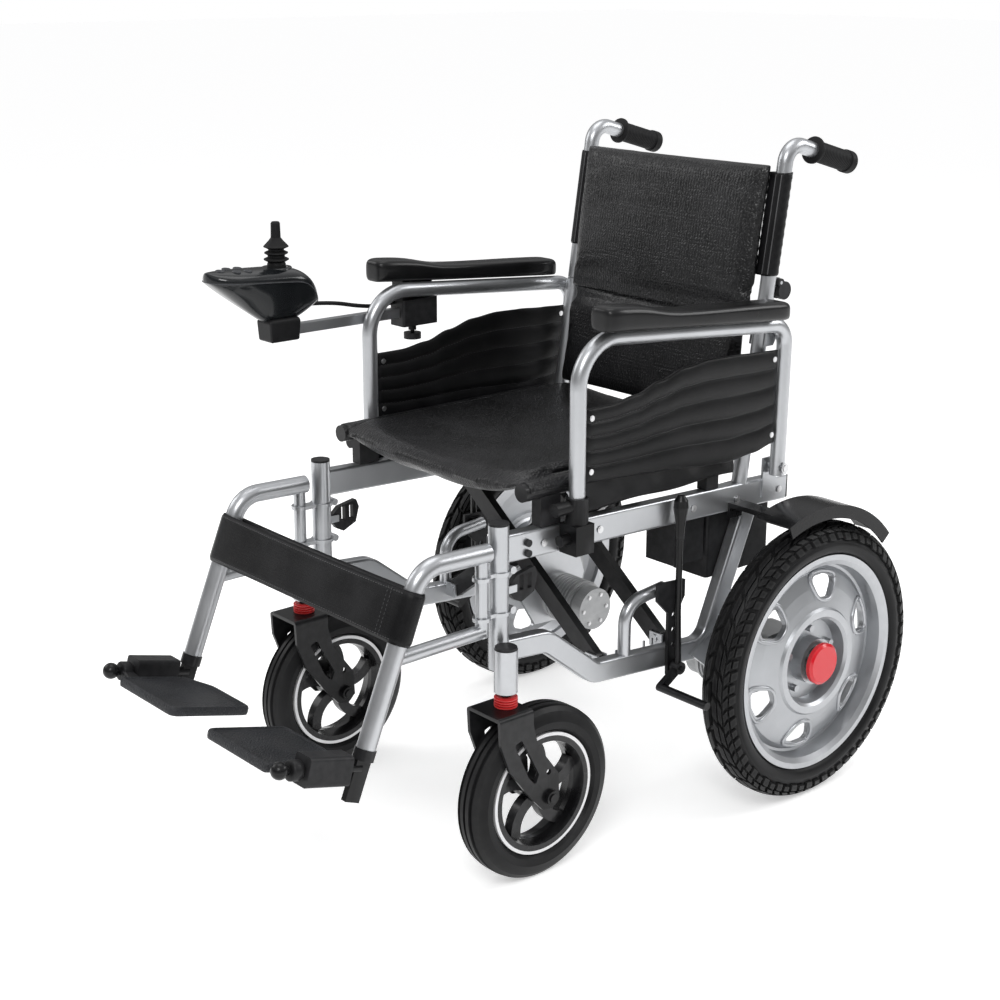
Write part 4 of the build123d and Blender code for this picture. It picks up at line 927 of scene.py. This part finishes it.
def back_cushion(name, z0, z1, body, node, skirt=0.0, tuck=0.0):
    """One padded section of the back, in front of the posts. skirt hangs below it in front, and tuck
    is how far the top of the lower section lies back behind that skirt."""
    half = 182.0

    def line(v):
        return z0 + (z1 - z0) * v

    def top(u, v):
        z = line(v)
        swell = edge_round(u, 0.06) * edge_round(v, 0.07)
        bow = 3.0 * (1 - (2 * u - 1) ** 2)
        back = tuck / (1 + exp(-(z - z1 + 30) / 3))
        drop = skirt * exp(-v * 22)
        if drop > 0.5:
            swell = edge_round(u, 0.06)
        return ((2 * u - 1) * half, post_y(z) - 16 - 10 * swell - bow + back, z - drop)

    def under(u, v):
        z = line(v)
        swell = edge_round(u, 0.06) * edge_round(v, 0.07)
        drop = skirt * exp(-v * 22)
        if drop > 0.5:
            bow = 3.0 * (1 - (2 * u - 1) ** 2)
            return ((2 * u - 1) * half, post_y(z) - 13 - 10 * edge_round(u, 0.06) - bow, z - drop)
        return ((2 * u - 1) * half, post_y(z) - 13 + 7 * swell, z)

    piece = new_piece(name, slab(name, top, under, 40, 60), FINISHES["black_fabric"])
    if skirt:
        settle(piece, 0.005, voxel=0.0024, still_below=(z0 + 4) * MM)
    else:
        settle(piece, 0.005)
    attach(piece, body)
    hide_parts(node)
    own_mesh(piece)


FOLD_FRONT, FOLD_LONG, FOLD_CUT = -364, 288, 43.5


def seat_sleeves():
    """Cloth over the seat tubes, and the slack folds that hang outside them down to the rails."""
    for side, sign in SIDES:
        body = "cross_a" if sign > 0 else "cross_b"
        loops = []
        for i in range(61):
            y = -455 + 390 * i / 60
            ruffle = 0.25 * sin(i * 1.3)
            arc = [radians(4 + 172 * k / 20) for k in range(21)]
            outer = [(13.5 + ruffle * sin(2 * a), a) for a in arc]
            inner = [(12.2, a) for a in reversed(arc)]
            loops.append([(sign * (SEAT_TUBE_X + r * cos(a)), y, 518 + r * sin(a))
                          for r, a in outer + inner])
        name = f"{side}_seat_sleeve"
        piece = new_piece(name, loops_mesh(name, loops), FINISHES["black_fabric"])
        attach(piece, body)

        def fold(y, t, shift):
            wave = 2.08 * sin((y + 54 * (1 - t)) * 0.085 + 3 * t) * sin(pi * min(1.0, t * 1.15))
            return (sign * (209.6 + wave + shift), y, 519 - 41 * t + 1.5 * sin(y * 0.04))

        def outer_face(u, v):
            return fold(FOLD_FRONT + FOLD_LONG * v, u, 1.1)

        def inner_face(u, v):
            return fold(FOLD_FRONT + FOLD_LONG * v, u, -0.1)

        drape = new_piece(f"{side}_seat_fold", slab(f"{side}_seat_fold", outer_face, inner_face, 14, 96),
                          SLEEVE_CLOTH)
        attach(drape, body)


POCKET_LOW, POCKET_TOP = 748, 889


def post_pockets():
    """Cloth pockets that the back cushion hangs on, one round each post."""
    for side, sign in SIDES:
        loops = []
        rows = 40
        for i in range(rows + 1):
            z = POCKET_LOW + (POCKET_TOP - POCKET_LOW) * i / rows
            ends = 1.0 if 0 < i < rows else 0.0
            ruffle = 0.35 * sin(i * 1.7) * ends
            ring = []
            for a in round_angles(40):
                web = 7.0 * max(0.0, cos(a - radians(205))) ** 14
                r = 12.9 + ruffle * sin(3 * a) + web
                ring.append((sign * (BACK_X + r * cos(a)), post_y(z) + r * sin(a), z))
            loops.append(ring)
        inner = [[(sign * (BACK_X + 11.4 * cos(a)), post_y(z) + 11.4 * sin(a), z) for a in round_angles(40)]
                 for z in (POCKET_TOP, POCKET_LOW)]
        name = f"{side}_post_pocket"
        piece = new_piece(name, ring_skin(name, loops + inner), SLEEVE_CLOTH)
        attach(piece, f"{side}_back")
        seams = [[(sign * (BACK_X + 13.0 * cos(a)), post_y(z) + 13.0 * sin(a), z)
                  for z in (POCKET_LOW + 2, 800, 850, POCKET_TOP - 2)] for a in (radians(-60), radians(-100))]
        bead = joined(f"{side}_pocket_piping", [
            rope(f"{side}_piping_{k}", line, 0.8, THREAD) for k, line in enumerate(seams)])
        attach(bead, f"{side}_back")


def panel_edges(y):
    """Lower and upper edge of the side panel at a place along it."""
    marks = [(-377, 522, 619), (-330, 518, 619), (-283, 515, 625), (-240, 512, 637), (-192, 508, 648),
             (-145, 503, 652), (-100, 500, 651), (-50, 504, 648), (-6, 512, 646)]
    for (y0, a0, b0), (y1, a1, b1) in zip(marks, marks[1:]):
        if y <= y1:
            t = (y - y0) / (y1 - y0)
            t = t * t * (3 - 2 * t)
            return a0 + (a1 - a0) * t, b0 + (b1 - b0) * t
    return marks[-1][1:]


PANEL_ROWS = (0.0, 0.22, 0.42, 0.62, 0.81, 1.0)
PANEL_FRONT, PANEL_REAR = -376.5, -6.5


def puff(v):
    """Swelling between two seams of the quilted panel."""
    for low, high in zip(PANEL_ROWS, PANEL_ROWS[1:]):
        if v <= high:
            t = (v - low) / (high - low)
            return max(0.0, sin(pi * t)) ** 0.55
    return 0.0


def side_panel(name):
    """Quilted arm panel with wavy sewn channels."""
    def face(side):
        def surface(u, v):
            y = PANEL_FRONT + (PANEL_REAR - PANEL_FRONT) * u
            low, high = panel_edges(y)
            ends = edge_round(u, 0.03)
            thick = 1.6 + 3.1 * puff(v) * ends
            return (ARM_X + side * thick, y, low + (high - low) * v)
        return surface

    return new_piece(name, slab(name, face(1), face(-1), 72, 90), PANEL_SKIN)


def panel_stitches(name):
    """Stitches along the panel's seams and its hems, on both faces."""
    hems = (0.035, 0.965)
    lines = []
    for v in PANEL_ROWS[1:-1] + hems:
        for side in (1, -1):
            line = []
            for i in range(41):
                y = PANEL_FRONT + 8 + (PANEL_REAR - PANEL_FRONT - 16) * i / 40
                low, high = panel_edges(y)
                edge = 3.0 if v in hems else 1.9
                line.append((ARM_X + side * edge, y, low + (high - low) * v))
            lines.append(line)
    return stitches(name, lines, 5.5, 3.8, 0.9)


def panel_rivets(name):
    """A rivet at each corner of the panel, on both faces."""
    spots = []
    for y in (PANEL_FRONT + 9, PANEL_REAR - 9):
        low, high = panel_edges(y)
        for z in (low + 14, high - 12):
            spots += [(ARM_X + 5, y, z), (ARM_X - 5, y, z)]
    return bolts(name, spots, 4.0, 1.6, BOLT_STEEL, sides=20)


def arm_pad(name):
    """Moulded arm pad: straight sides, a crowned top and a raised nose."""
    x_mid, half, front, length = ARM_X + 17, 23.0, -370.0, 350.0

    def rise(v):
        return 33.5 - 9.8 / (1 + exp(-(v - 0.25) * 24)) + 3.0 / (1 + exp(-(v - 0.66) * 10))

    def loop(v):
        y = front + length * v
        floor = arm_z(y) + 11.6
        w = half * (0.55 + 0.45 * edge_round(v, 0.055))
        h = rise(v) * (0.82 + 0.18 * edge_round(v, 0.05))
        shape = []
        for a in round_angles(44):
            cx, cz = cos(a), sin(a)
            sx = abs(cx) ** 0.42 * (1 if cx >= 0 else -1)
            sz = abs(cz) ** 0.55 * (1 if cz >= 0 else -1)
            wide = w * (1.0 if cz < 0.2 else 1.0 - 0.06 * (cz - 0.2))
            shape.append((x_mid + wide * sx, y, floor + h * 0.5 + h * 0.5 * sz))
        return shape

    nose = [0.0, 0.006, 0.02, 0.04, 0.07]
    stations = nose + [0.1 + 0.8 * i / 40 for i in range(41)] + [1 - v for v in reversed(nose)]
    return soften(new_piece(name, loops_mesh(name, [loop(v) for v in stations]), FINISHES["black_vinyl"]))


# ---- calf strap ----
LEG_TOP = (-630.0, 456.0)
LEG_END = (-717.0, 244.0)


def leg_at(x, down, out):
    """A point beside the leg's line: this far down it, and this far behind its centre."""
    run, fall = LEG_END[0] - LEG_TOP[0], LEG_END[1] - LEG_TOP[1]
    length = hypot(run, fall)
    dy, dz = run / length, fall / length
    return (x, LEG_TOP[0] + dy * down - dz * out, LEG_TOP[1] + dz * down + dy * out)


def calf_strap():
    """Padded band round both legs, sewn at one end and slack in its middle."""
    wide, start, radius = 68.0, 28.5, 14.9
    turns, rows = 120, 14

    def band_at(t, lift):
        """t runs round the loop from the left leg along the front; lift is out from the band's middle."""
        straight = 2 * HANGER_X
        bend = pi * radius
        total = 2 * (straight + bend)
        s = t * total
        r = radius + lift
        if s < straight:
            x, out = HANGER_X - s, -r
            slack = sin(pi * s / straight)
            return x, out - 3.5 * slack, slack
        s -= straight
        if s < bend:
            a = s / radius
            return -HANGER_X - r * sin(a), -r * cos(a), 0.0
        s -= bend
        if s < straight:
            slack = sin(pi * s / straight)
            return -HANGER_X + s, r - 1.25 * slack, slack
        s -= straight
        a = s / radius
        return HANGER_X + r * sin(a), r * cos(a), 0.0

    loops = []
    for i in range(turns):
        section = []
        for j in range(2 * rows):
            up = j if j <= rows else 2 * rows - j
            share = up / rows
            outer = j <= rows
            roll = edge_round(share, 0.10)
            x, out, slack = band_at(i / turns, (2.0 if outer else -1.2) * roll)
            edge = 2.6 * slack * (0.5 - share)
            down = start + wide * share + edge
            section.append(leg_at(x, down, out))
        loops.append(section)
    mesh = ring_skin("calf_band", loops)
    piece = new_piece("calf_band", mesh, WEBBING)
    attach(piece, "left_hanger")
    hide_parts("calf_strap")
    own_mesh(piece)
    lines = []
    for down in (start + 5, start + wide - 5):
        line = []
        for i in range(49):
            t = i / 48
            x = HANGER_X - 2 * HANGER_X * t
            slack = sin(pi * t)
            sunk = down + 2.6 * slack * (0.5 - (down - start) / wide)
            line.append(leg_at(x, sunk, -(radius + 2.3) - 3.5 * slack))
        lines.append(line)
    for x in (HANGER_X - 20, HANGER_X - 27):
        lines.append([leg_at(x, start + down, -(radius + 2.7)) for down in (4, wide / 2, wide - 4)])
    sewn = stitches("calf_band_stitches", lines, 5.0, 3.6, 0.8)
    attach(sewn, "left_hanger")
    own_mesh(sewn)


# ---- grips ----
def push_grip(name):
    """Ribbed rubber grip with a flange at its inner end."""
    start, end, slope = 82.0, 167.0, 0.282
    direction = Vector((0, 1, -slope)).normalized()
    side = Vector((0, slope, 1)).normalized()
    corner_y = post_y(931)
    loops = []
    rows = 120
    length = (end - start) * hypot(1, slope)
    for i in range(rows + 1):
        s = length * i / rows
        t = i / rows
        r = 14.7 + 0.35 * cos(2 * pi * s / 3.4)
        if t < 0.055:
            r = 19.5 * (1 - ((t - 0.0275) / 0.0275) ** 4 * 0.08)
        if 0.84 < t <= 0.96:
            r = 16.6
        if t > 0.96:
            r = 16.6 - 7 * ((t - 0.96) / 0.04) ** 2.5
        y = start + s * direction.y
        z = 931 - (start - corner_y) * slope + s * direction.z
        loops.append([(BACK_X + r * cos(a), y + r * sin(a) * side.y, z + r * sin(a) * side.z)
                      for a in round_angles(40)])
    return new_piece(name, loops_mesh(name, loops), FINISHES["black_rubber"])


# ---- footplates ----
FOOT_TILT = radians(15)
FOOT_ORIGIN = (-734.4, 223.6)


def foot_at(x, y, z):
    """A point on the footplate: across from the leg, back along its rod, and up from its face."""
    c, s = cos(FOOT_TILT), sin(FOOT_TILT)
    return (HANGER_X + x, FOOT_ORIGIN[0] + y * c + z * s, FOOT_ORIGIN[1] - y * s + z * c)


def plate_outline(inset):
    """Rounded outline of the footplate, anticlockwise from its inner rear corner."""
    steps = 5
    inner, outer, rear, front = -26 - inset, -162 + inset, 8 - inset, -114 + inset
    corners = [((inner, front), 5), ((inner, -14 - inset * 0.6), 6), ((inner - 42, rear), 8),
               ((outer, rear), 11), ((outer, front), 11)]
    points = []
    for i, ((x, y), r) in enumerate(corners):
        before = Vector(corners[i - 1][0])
        after = Vector(corners[(i + 1) % len(corners)][0])
        here = Vector((x, y))
        a = here + (before - here).normalized() * r
        b = here + (after - here).normalized() * r
        for k in range(steps + 1):
            t = k / steps
            p = a * (1 - t) ** 2 + here * 2 * t * (1 - t) + b * t * t
            points.append((p.x, p.y))
    return points


def footplate_skin(name):
    """Pebbled top with a raised rounded lip, over a tray."""
    loops = []
    for inset, z in ((9, -10), (3.5, -12.6), (0.6, -11.5), (0, -8), (0, -3), (0.8, -0.6), (2.2, 0.3),
                     (4, 0.1), (5, -1.3), (6, -1.5), (18, -1.5), (34, -1.5)):
        loops.append([foot_at(x, y, z) for x, y in plate_outline(inset)])
    return new_piece(name, loops_mesh(name, loops), TREAD_PLATE)


def footplate_hub(name):
    """Knuckle that turns on the rod and holds the plate."""
    loops = []
    for y, r in ((-100, 8), (-99.5, 11.5), (-98, 13), (-86, 13), (-84.5, 11.5), (-84, 8)):
        loops.append([foot_at(r * cos(a), y, r * sin(a)) for a in round_angles(36)])
    hub = new_piece(name, loops_mesh(name, loops), FINISHES["black_plastic"])
    arm_loops = []
    for x, half, low, high in ((-6, 8, -11, 5), (-14, 8.5, -12, 2), (-26, 10, -12.4, -0.5),
                               (-34, 11, -12.4, -3)):
        arm_loops.append([foot_at(x, -92 + dy, dz) for dy, dz in (
            (-half, low), (half, low), (half, high - 2), (half - 2, high), (2 - half, high),
            (-half, high - 2))])
    arm = loops_mesh(name + "_arm", arm_loops)
    return joined(name, [hub, new_piece(name + "_arm", arm, FINISHES["black_plastic"], smooth=False)])


# ---- controller ----
def controller_shell():
    """Two-part moulded housing, long in front of the stick and full behind it."""
    stations = []
    x0, y0, z0 = STICK_X, STICK_Y, STICK_BASE_Z
    rows = 30
    for i in range(rows + 1):
        t = i / rows
        s = (1 - cos(pi * t)) / 2
        y = y0 - 115.5 + 175 * s
        top = z0 + 4.5 - 7.5 * s + 1.5 * sin(pi * s)
        if s > 0.72:
            top -= 34 * ((s - 0.72) / 0.28) ** 2.2
        low = z0 - 8 - 68 * min(1.0, s / 0.52) ** 0.92
        if s > 0.74:
            low += 26 * ((s - 0.74) / 0.26) ** 2
        wide = 38.5 * (1 - (1 - min(1.0, s / 0.42)) ** 2.6) ** 0.5
        if s > 0.7:
            wide *= (1 - ((s - 0.7) / 0.3) ** 2.4 * 0.93) ** 0.5
        wide = max(wide, 3.0)
        seam = top - 13 - 5 * s
        ring = []
        for a in round_angles(56):
            cx, cz = cos(a), sin(a)
            if cz >= 0:
                x = wide * abs(cx) ** 0.8 * (1 if cx >= 0 else -1)
                z = seam + (top - seam) * abs(cz) ** 0.75
            else:
                tuck = 1 - 0.52 * abs(cz) ** 1.3 * min(1.0, (seam - low) / 45)
                x = wide * tuck * abs(cx) ** 0.7 * (1 if cx >= 0 else -1)
                z = seam - (seam - low) * abs(cz) ** 0.95
            ring.append((x0 + x, y, z))
        stations.append(ring)
    piece = new_piece("controller_shell", loops_mesh("controller_shell", stations), FINISHES["gloss_black"])
    soften(piece)
    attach(piece, "controller")
    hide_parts("controller_case")
    left = [ring[0] for ring in stations[1:-1]]
    right = [ring[28] for ring in stations[-2:0:-1]]
    seam = rope("controller_seam", left + right, 0.7, KEY_MEMBRANE, cyclic=True, smooth_steps=4, sides=2)
    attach(seam, "controller")
    socket_loops = []
    for z, half, y_front, y_back in ((z0 - 103, 14, -20, 22), (z0 - 102, 16.5, -23, 25),
                                     (z0 - 74, 17.5, -25, 27), (z0 - 70, 15, -22, 25)):
        socket_loops.append([(x0 + sx * half, y0 + (y_front if sy < 0 else y_back), z)
                             for sx, sy in ((-1, -1), (1, -1), (1, 1), (-1, 1))])
    socket = new_piece("controller_socket", loops_mesh("controller_socket", socket_loops),
                       FINISHES["black_plastic"], smooth=False)
    trim = socket.modifiers.new("round", "BEVEL")
    trim.width = 2.2 * MM
    trim.segments = 3
    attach(socket, "controller")
    keys()


def keys():
    """Flat membrane keys on the front of the housing, and the raised ring round the stick."""
    x0, y0, z0 = STICK_X, STICK_Y, STICK_BASE_Z
    parts = []
    for row, y in enumerate((-92, -74, -56)):
        for x in ((-13, 13) if row else (0,)):
            z = z0 + 4.5 - 7.5 * ((y + 115.5) / 175) + 1.0
            loops = [[(x0 + x + wide * cos(a), y0 + y + deep * sin(a), z + up) for a in round_angles(24)]
                     for wide, deep, up in ((8, 5.5, -3.0), (8, 5.5, 0.9), (6.6, 4.3, 1.5))]
            name = f"key_{row}_{x}"
            parts.append(new_piece(name, loops_mesh(name, loops), KEY_MEMBRANE))
    piece = joined("membrane_keys", parts)
    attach(piece, "controller")
    profile = [(19.5, -4), (22, 0.5), (20.5, 3.2), (17.5, 3.4), (16.5, 1), (16.5, -4)]
    loops = [[(x0 + r * cos(a), y0 + r * sin(a), z0 - 2 + h) for r, h in profile]
             for a in round_angles(48)]
    collar = new_piece("stick_collar", ring_skin("stick_collar", loops), FINISHES["gloss_black"])
    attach(collar, "controller")


LEAD_ROUTE = (
    (STICK_X, STICK_Y + 58, 702), (STICK_X - 1, -437, 699), (STICK_X - 3, -392, 688),
    (STICK_X - 4, -356, 683), (STICK_X - 5, -323.5, 685),
)
LEAD_R = 3.0


def controller_lead():
    """Lead from the controller's rear to its clamp."""
    middle_line = baked(smooth_line("lead_route", LEAD_ROUTE, steps=12))
    path = [vertex.co.copy() for vertex in middle_line.vertices]
    length = sum((b - a).length for a, b in zip(path, path[1:]))
    piece = rope("controller_lead", LEAD_ROUTE, LEAD_R, FINISHES["black_rubber"], smooth_steps=12)
    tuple(path[0])
    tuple(path[-1])
    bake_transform(piece)
    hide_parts("controller_cable")
    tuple(path[0])


def lead_under_pad():
    """The rest of the lead, clipped along the underside of the right armrest."""
    x = STICK_X + 4
    marks = [(x, -257, 694), (x, -232, arm_z(-232) - 4), (x + 1, -180, arm_z(-180) + 4),
             (x + 1, -110, arm_z(-110) + 5), (x + 2, -64, arm_z(-64) + 5)]
    piece = rope("lead_under_pad", marks, LEAD_R, FINISHES["black_rubber"], smooth_steps=10)
    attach(piece, "right_armrest")


# ---- small fastenings ----
def fastenings():
    """Bolts of the rails, armrest pivots and caster axles."""
    def frame_bolts(name):
        spots = [(FRAME_X + 11.3, y, z)
                 for y, z in ((-430, 448), (-330, 445), (-150, 438), (-60, 434), (30, 432))]
        return bolts(name, spots, 5.0, 2.6, BOLT_STEEL)

    pair(frame_bolts, "rail_bolts", "side_{side}")

    def pivot_bolts(name):
        return bolts(name, [(ARM_X + 14.4, 5, 474)], 7.5, 5.0, BOLT_STEEL)

    pair(pivot_bolts, "armrest_pivot_bolt", "side_{side}")

    def caster_nuts(name):
        spots = [(CASTER_X + s * 36.5, CASTER_Y, CASTER_Z) for s in (1, -1)]
        return bolts(name, spots, 8.5, 7.0, FINISHES["black_metal"])

    pair(caster_nuts, "caster_axle_nuts", "{side}_caster_swivel_body")


def motor_bands(name):
    """Clamping bands and cooling ribs round the motor's drum."""
    profile = []
    for x in (143, 150, 157, 164, 171, 178, 185, 192):
        profile += [(x, 37.4), (x + 0.6, 39.2), (x + 3.0, 39.2), (x + 3.6, 37.4)]
    profile = [(141, 36.6)] + profile + [(197, 37.4), (197, 36.6)]
    drum = lathe(name, profile, 0, MOTOR_Y, MOTOR_Z, 96)
    return new_piece(name, drum, FINISHES["motor_alloy"], smooth=False)


def motor_screws(name):
    """Six screws on the drum's end."""
    spots = [(115.4, MOTOR_Y + 25 * cos(a), MOTOR_Z + 25 * sin(a)) for a in round_angles(6)]
    return bolts(name, spots, 3.4, 2.4, BOLT_STEEL)


# ---- stage, light and camera ----
def stage():
    """Pale floor, white backdrop and four soft lamps."""
    bpy.ops.mesh.primitive_plane_add(size=60, location=(0, 0, 0))
    floor = bpy.context.object
    floor.name = "floor"
    pale = bpy.data.materials.new("pale_floor")
    pale.use_nodes = True
    shader = pale.node_tree.nodes["Principled BSDF"]
    shader.inputs["Base Color"].default_value = (0.90, 0.90, 0.895, 1)
    shader.inputs["Roughness"].default_value = 0.75
    shader.inputs["Emission Color"].default_value = (1, 1, 1, 1)
    shader.inputs["Emission Strength"].default_value = 0.44
    floor.data.materials.append(pale)
    world = bpy.data.worlds.new("studio")
    bpy.context.scene.world = world
    world.use_nodes = True
    sky = world.node_tree
    room = sky.nodes["Background"]
    backdrop = add(sky, "ShaderNodeBackground")
    backdrop.inputs["Color"].default_value = (1, 1, 1, 1)
    backdrop.inputs["Strength"].default_value = 1.0
    coords = add(sky, "ShaderNodeTexCoord")
    parts = add(sky, "ShaderNodeSeparateXYZ")
    wire(sky, coords.outputs["Generated"], parts.inputs[0])
    bands = add(sky, "ShaderNodeValToRGB")
    bands.color_ramp.elements[0].position = 0.30
    bands.color_ramp.elements[0].color = (0.70, 0.70, 0.70, 1)
    bands.color_ramp.elements[1].position = 0.78
    bands.color_ramp.elements[1].color = (0.95, 0.95, 0.96, 1)
    for spot, shade in ((0.47, 0.55), (0.52, 0.10), (0.62, 0.22)):
        band = bands.color_ramp.elements.new(spot)
        band.color = (shade, shade, shade, 1)
    wire(sky, maths(sky, "ADD", maths(sky, "MULTIPLY", parts.outputs["Z"], 0.5), 0.5), bands.inputs["Fac"])
    wire(sky, bands.outputs["Color"], room.inputs["Color"])
    room.inputs["Strength"].default_value = 0.75
    path = add(sky, "ShaderNodeLightPath")
    mix = add(sky, "ShaderNodeMixShader")
    wire(sky, path.outputs["Is Camera Ray"], mix.inputs[0])
    wire(sky, room.outputs[0], mix.inputs[1])
    wire(sky, backdrop.outputs[0], mix.inputs[2])
    wire(sky, mix.outputs[0], sky.nodes["World Output"].inputs["Surface"])
    bpy.context.scene.view_settings.view_transform = "Standard"
    for name, spot, size, power in (
        ("key_light", (1.9, -2.2, 2.9), 1.3, 52),
        ("fill_light", (-2.6, -1.4, 2.0), 1.6, 20),
        ("rim_light", (1.6, 2.6, 2.2), 1.4, 34),
        ("top_light", (-0.3, 0.2, 3.4), 2.0, 24),
    ):
        data = bpy.data.lights.new(name, "AREA")
        data.size = size
        data.energy = power
        lamp = bpy.data.objects.new(name, data)
        lamp.location = spot
        aim = Vector((0, 0, 0.45)) - Vector(spot)
        lamp.rotation_euler = aim.to_track_quat("-Z", "Y").to_euler()
        bpy.context.collection.objects.link(lamp)


def camera():
    """Camera at eye height in front of the sitter's left."""
    yaw, pitch, roll = radians(49.52), radians(15.52), radians(0.068)
    back = Vector((sin(yaw) * cos(pitch), -cos(yaw) * cos(pitch), sin(pitch)))
    right = Vector((cos(yaw), sin(yaw), 0))
    up = back.cross(right)
    right, up = cos(roll) * right + sin(roll) * up, cos(roll) * up - sin(roll) * right
    lens = bpy.data.cameras.new("camera")
    lens.sensor_width = 36
    lens.lens = 64.21
    lens.shift_x = 0.0091
    lens.shift_y = -0.0456
    eye = bpy.data.objects.new("camera", lens)
    turn = Matrix((right, up, back)).transposed().to_4x4()
    eye.matrix_world = Matrix.Translation(at(1824.6, -1902.5, 1173.7)) @ turn
    bpy.context.collection.objects.link(eye)
    bpy.context.scene.camera = eye


dress_frame()
camera()
stage()
drive_wheels()
seat()
back_cushion("back_cushion_upper", 701, 899, "right_back", "back_upper", skirt=14)
back_cushion("back_cushion_lower", 537, 697, "side_right", "back_lower", tuck=9)
post_pockets()
seat_sleeves()
pair(side_panel, "quilted_panel", "{side}_armrest", ["{side}_side_panel"])
pair(panel_stitches, "panel_stitches", "{side}_armrest")
pair(panel_rivets, "panel_rivets", "{side}_armrest")
for pad in pair(arm_pad, "arm_pad_skin", "{side}_armrest", ["{side}_armrest_pad"]):
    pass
calf_strap()
pair(push_grip, "ribbed_grip", "{side}_back", ["{side}_push_grip"])
pair(footplate_skin, "footplate_skin", "{side}_plate", ["{side}_footplate"])
pair(footplate_hub, "footplate_knuckle", "{side}_plate")
controller_shell()
controller_lead()
lead_under_pad()
fastenings()
pair(motor_bands, "motor_bands", "side_{side}")
pair(motor_screws, "motor_screws", "side_{side}")
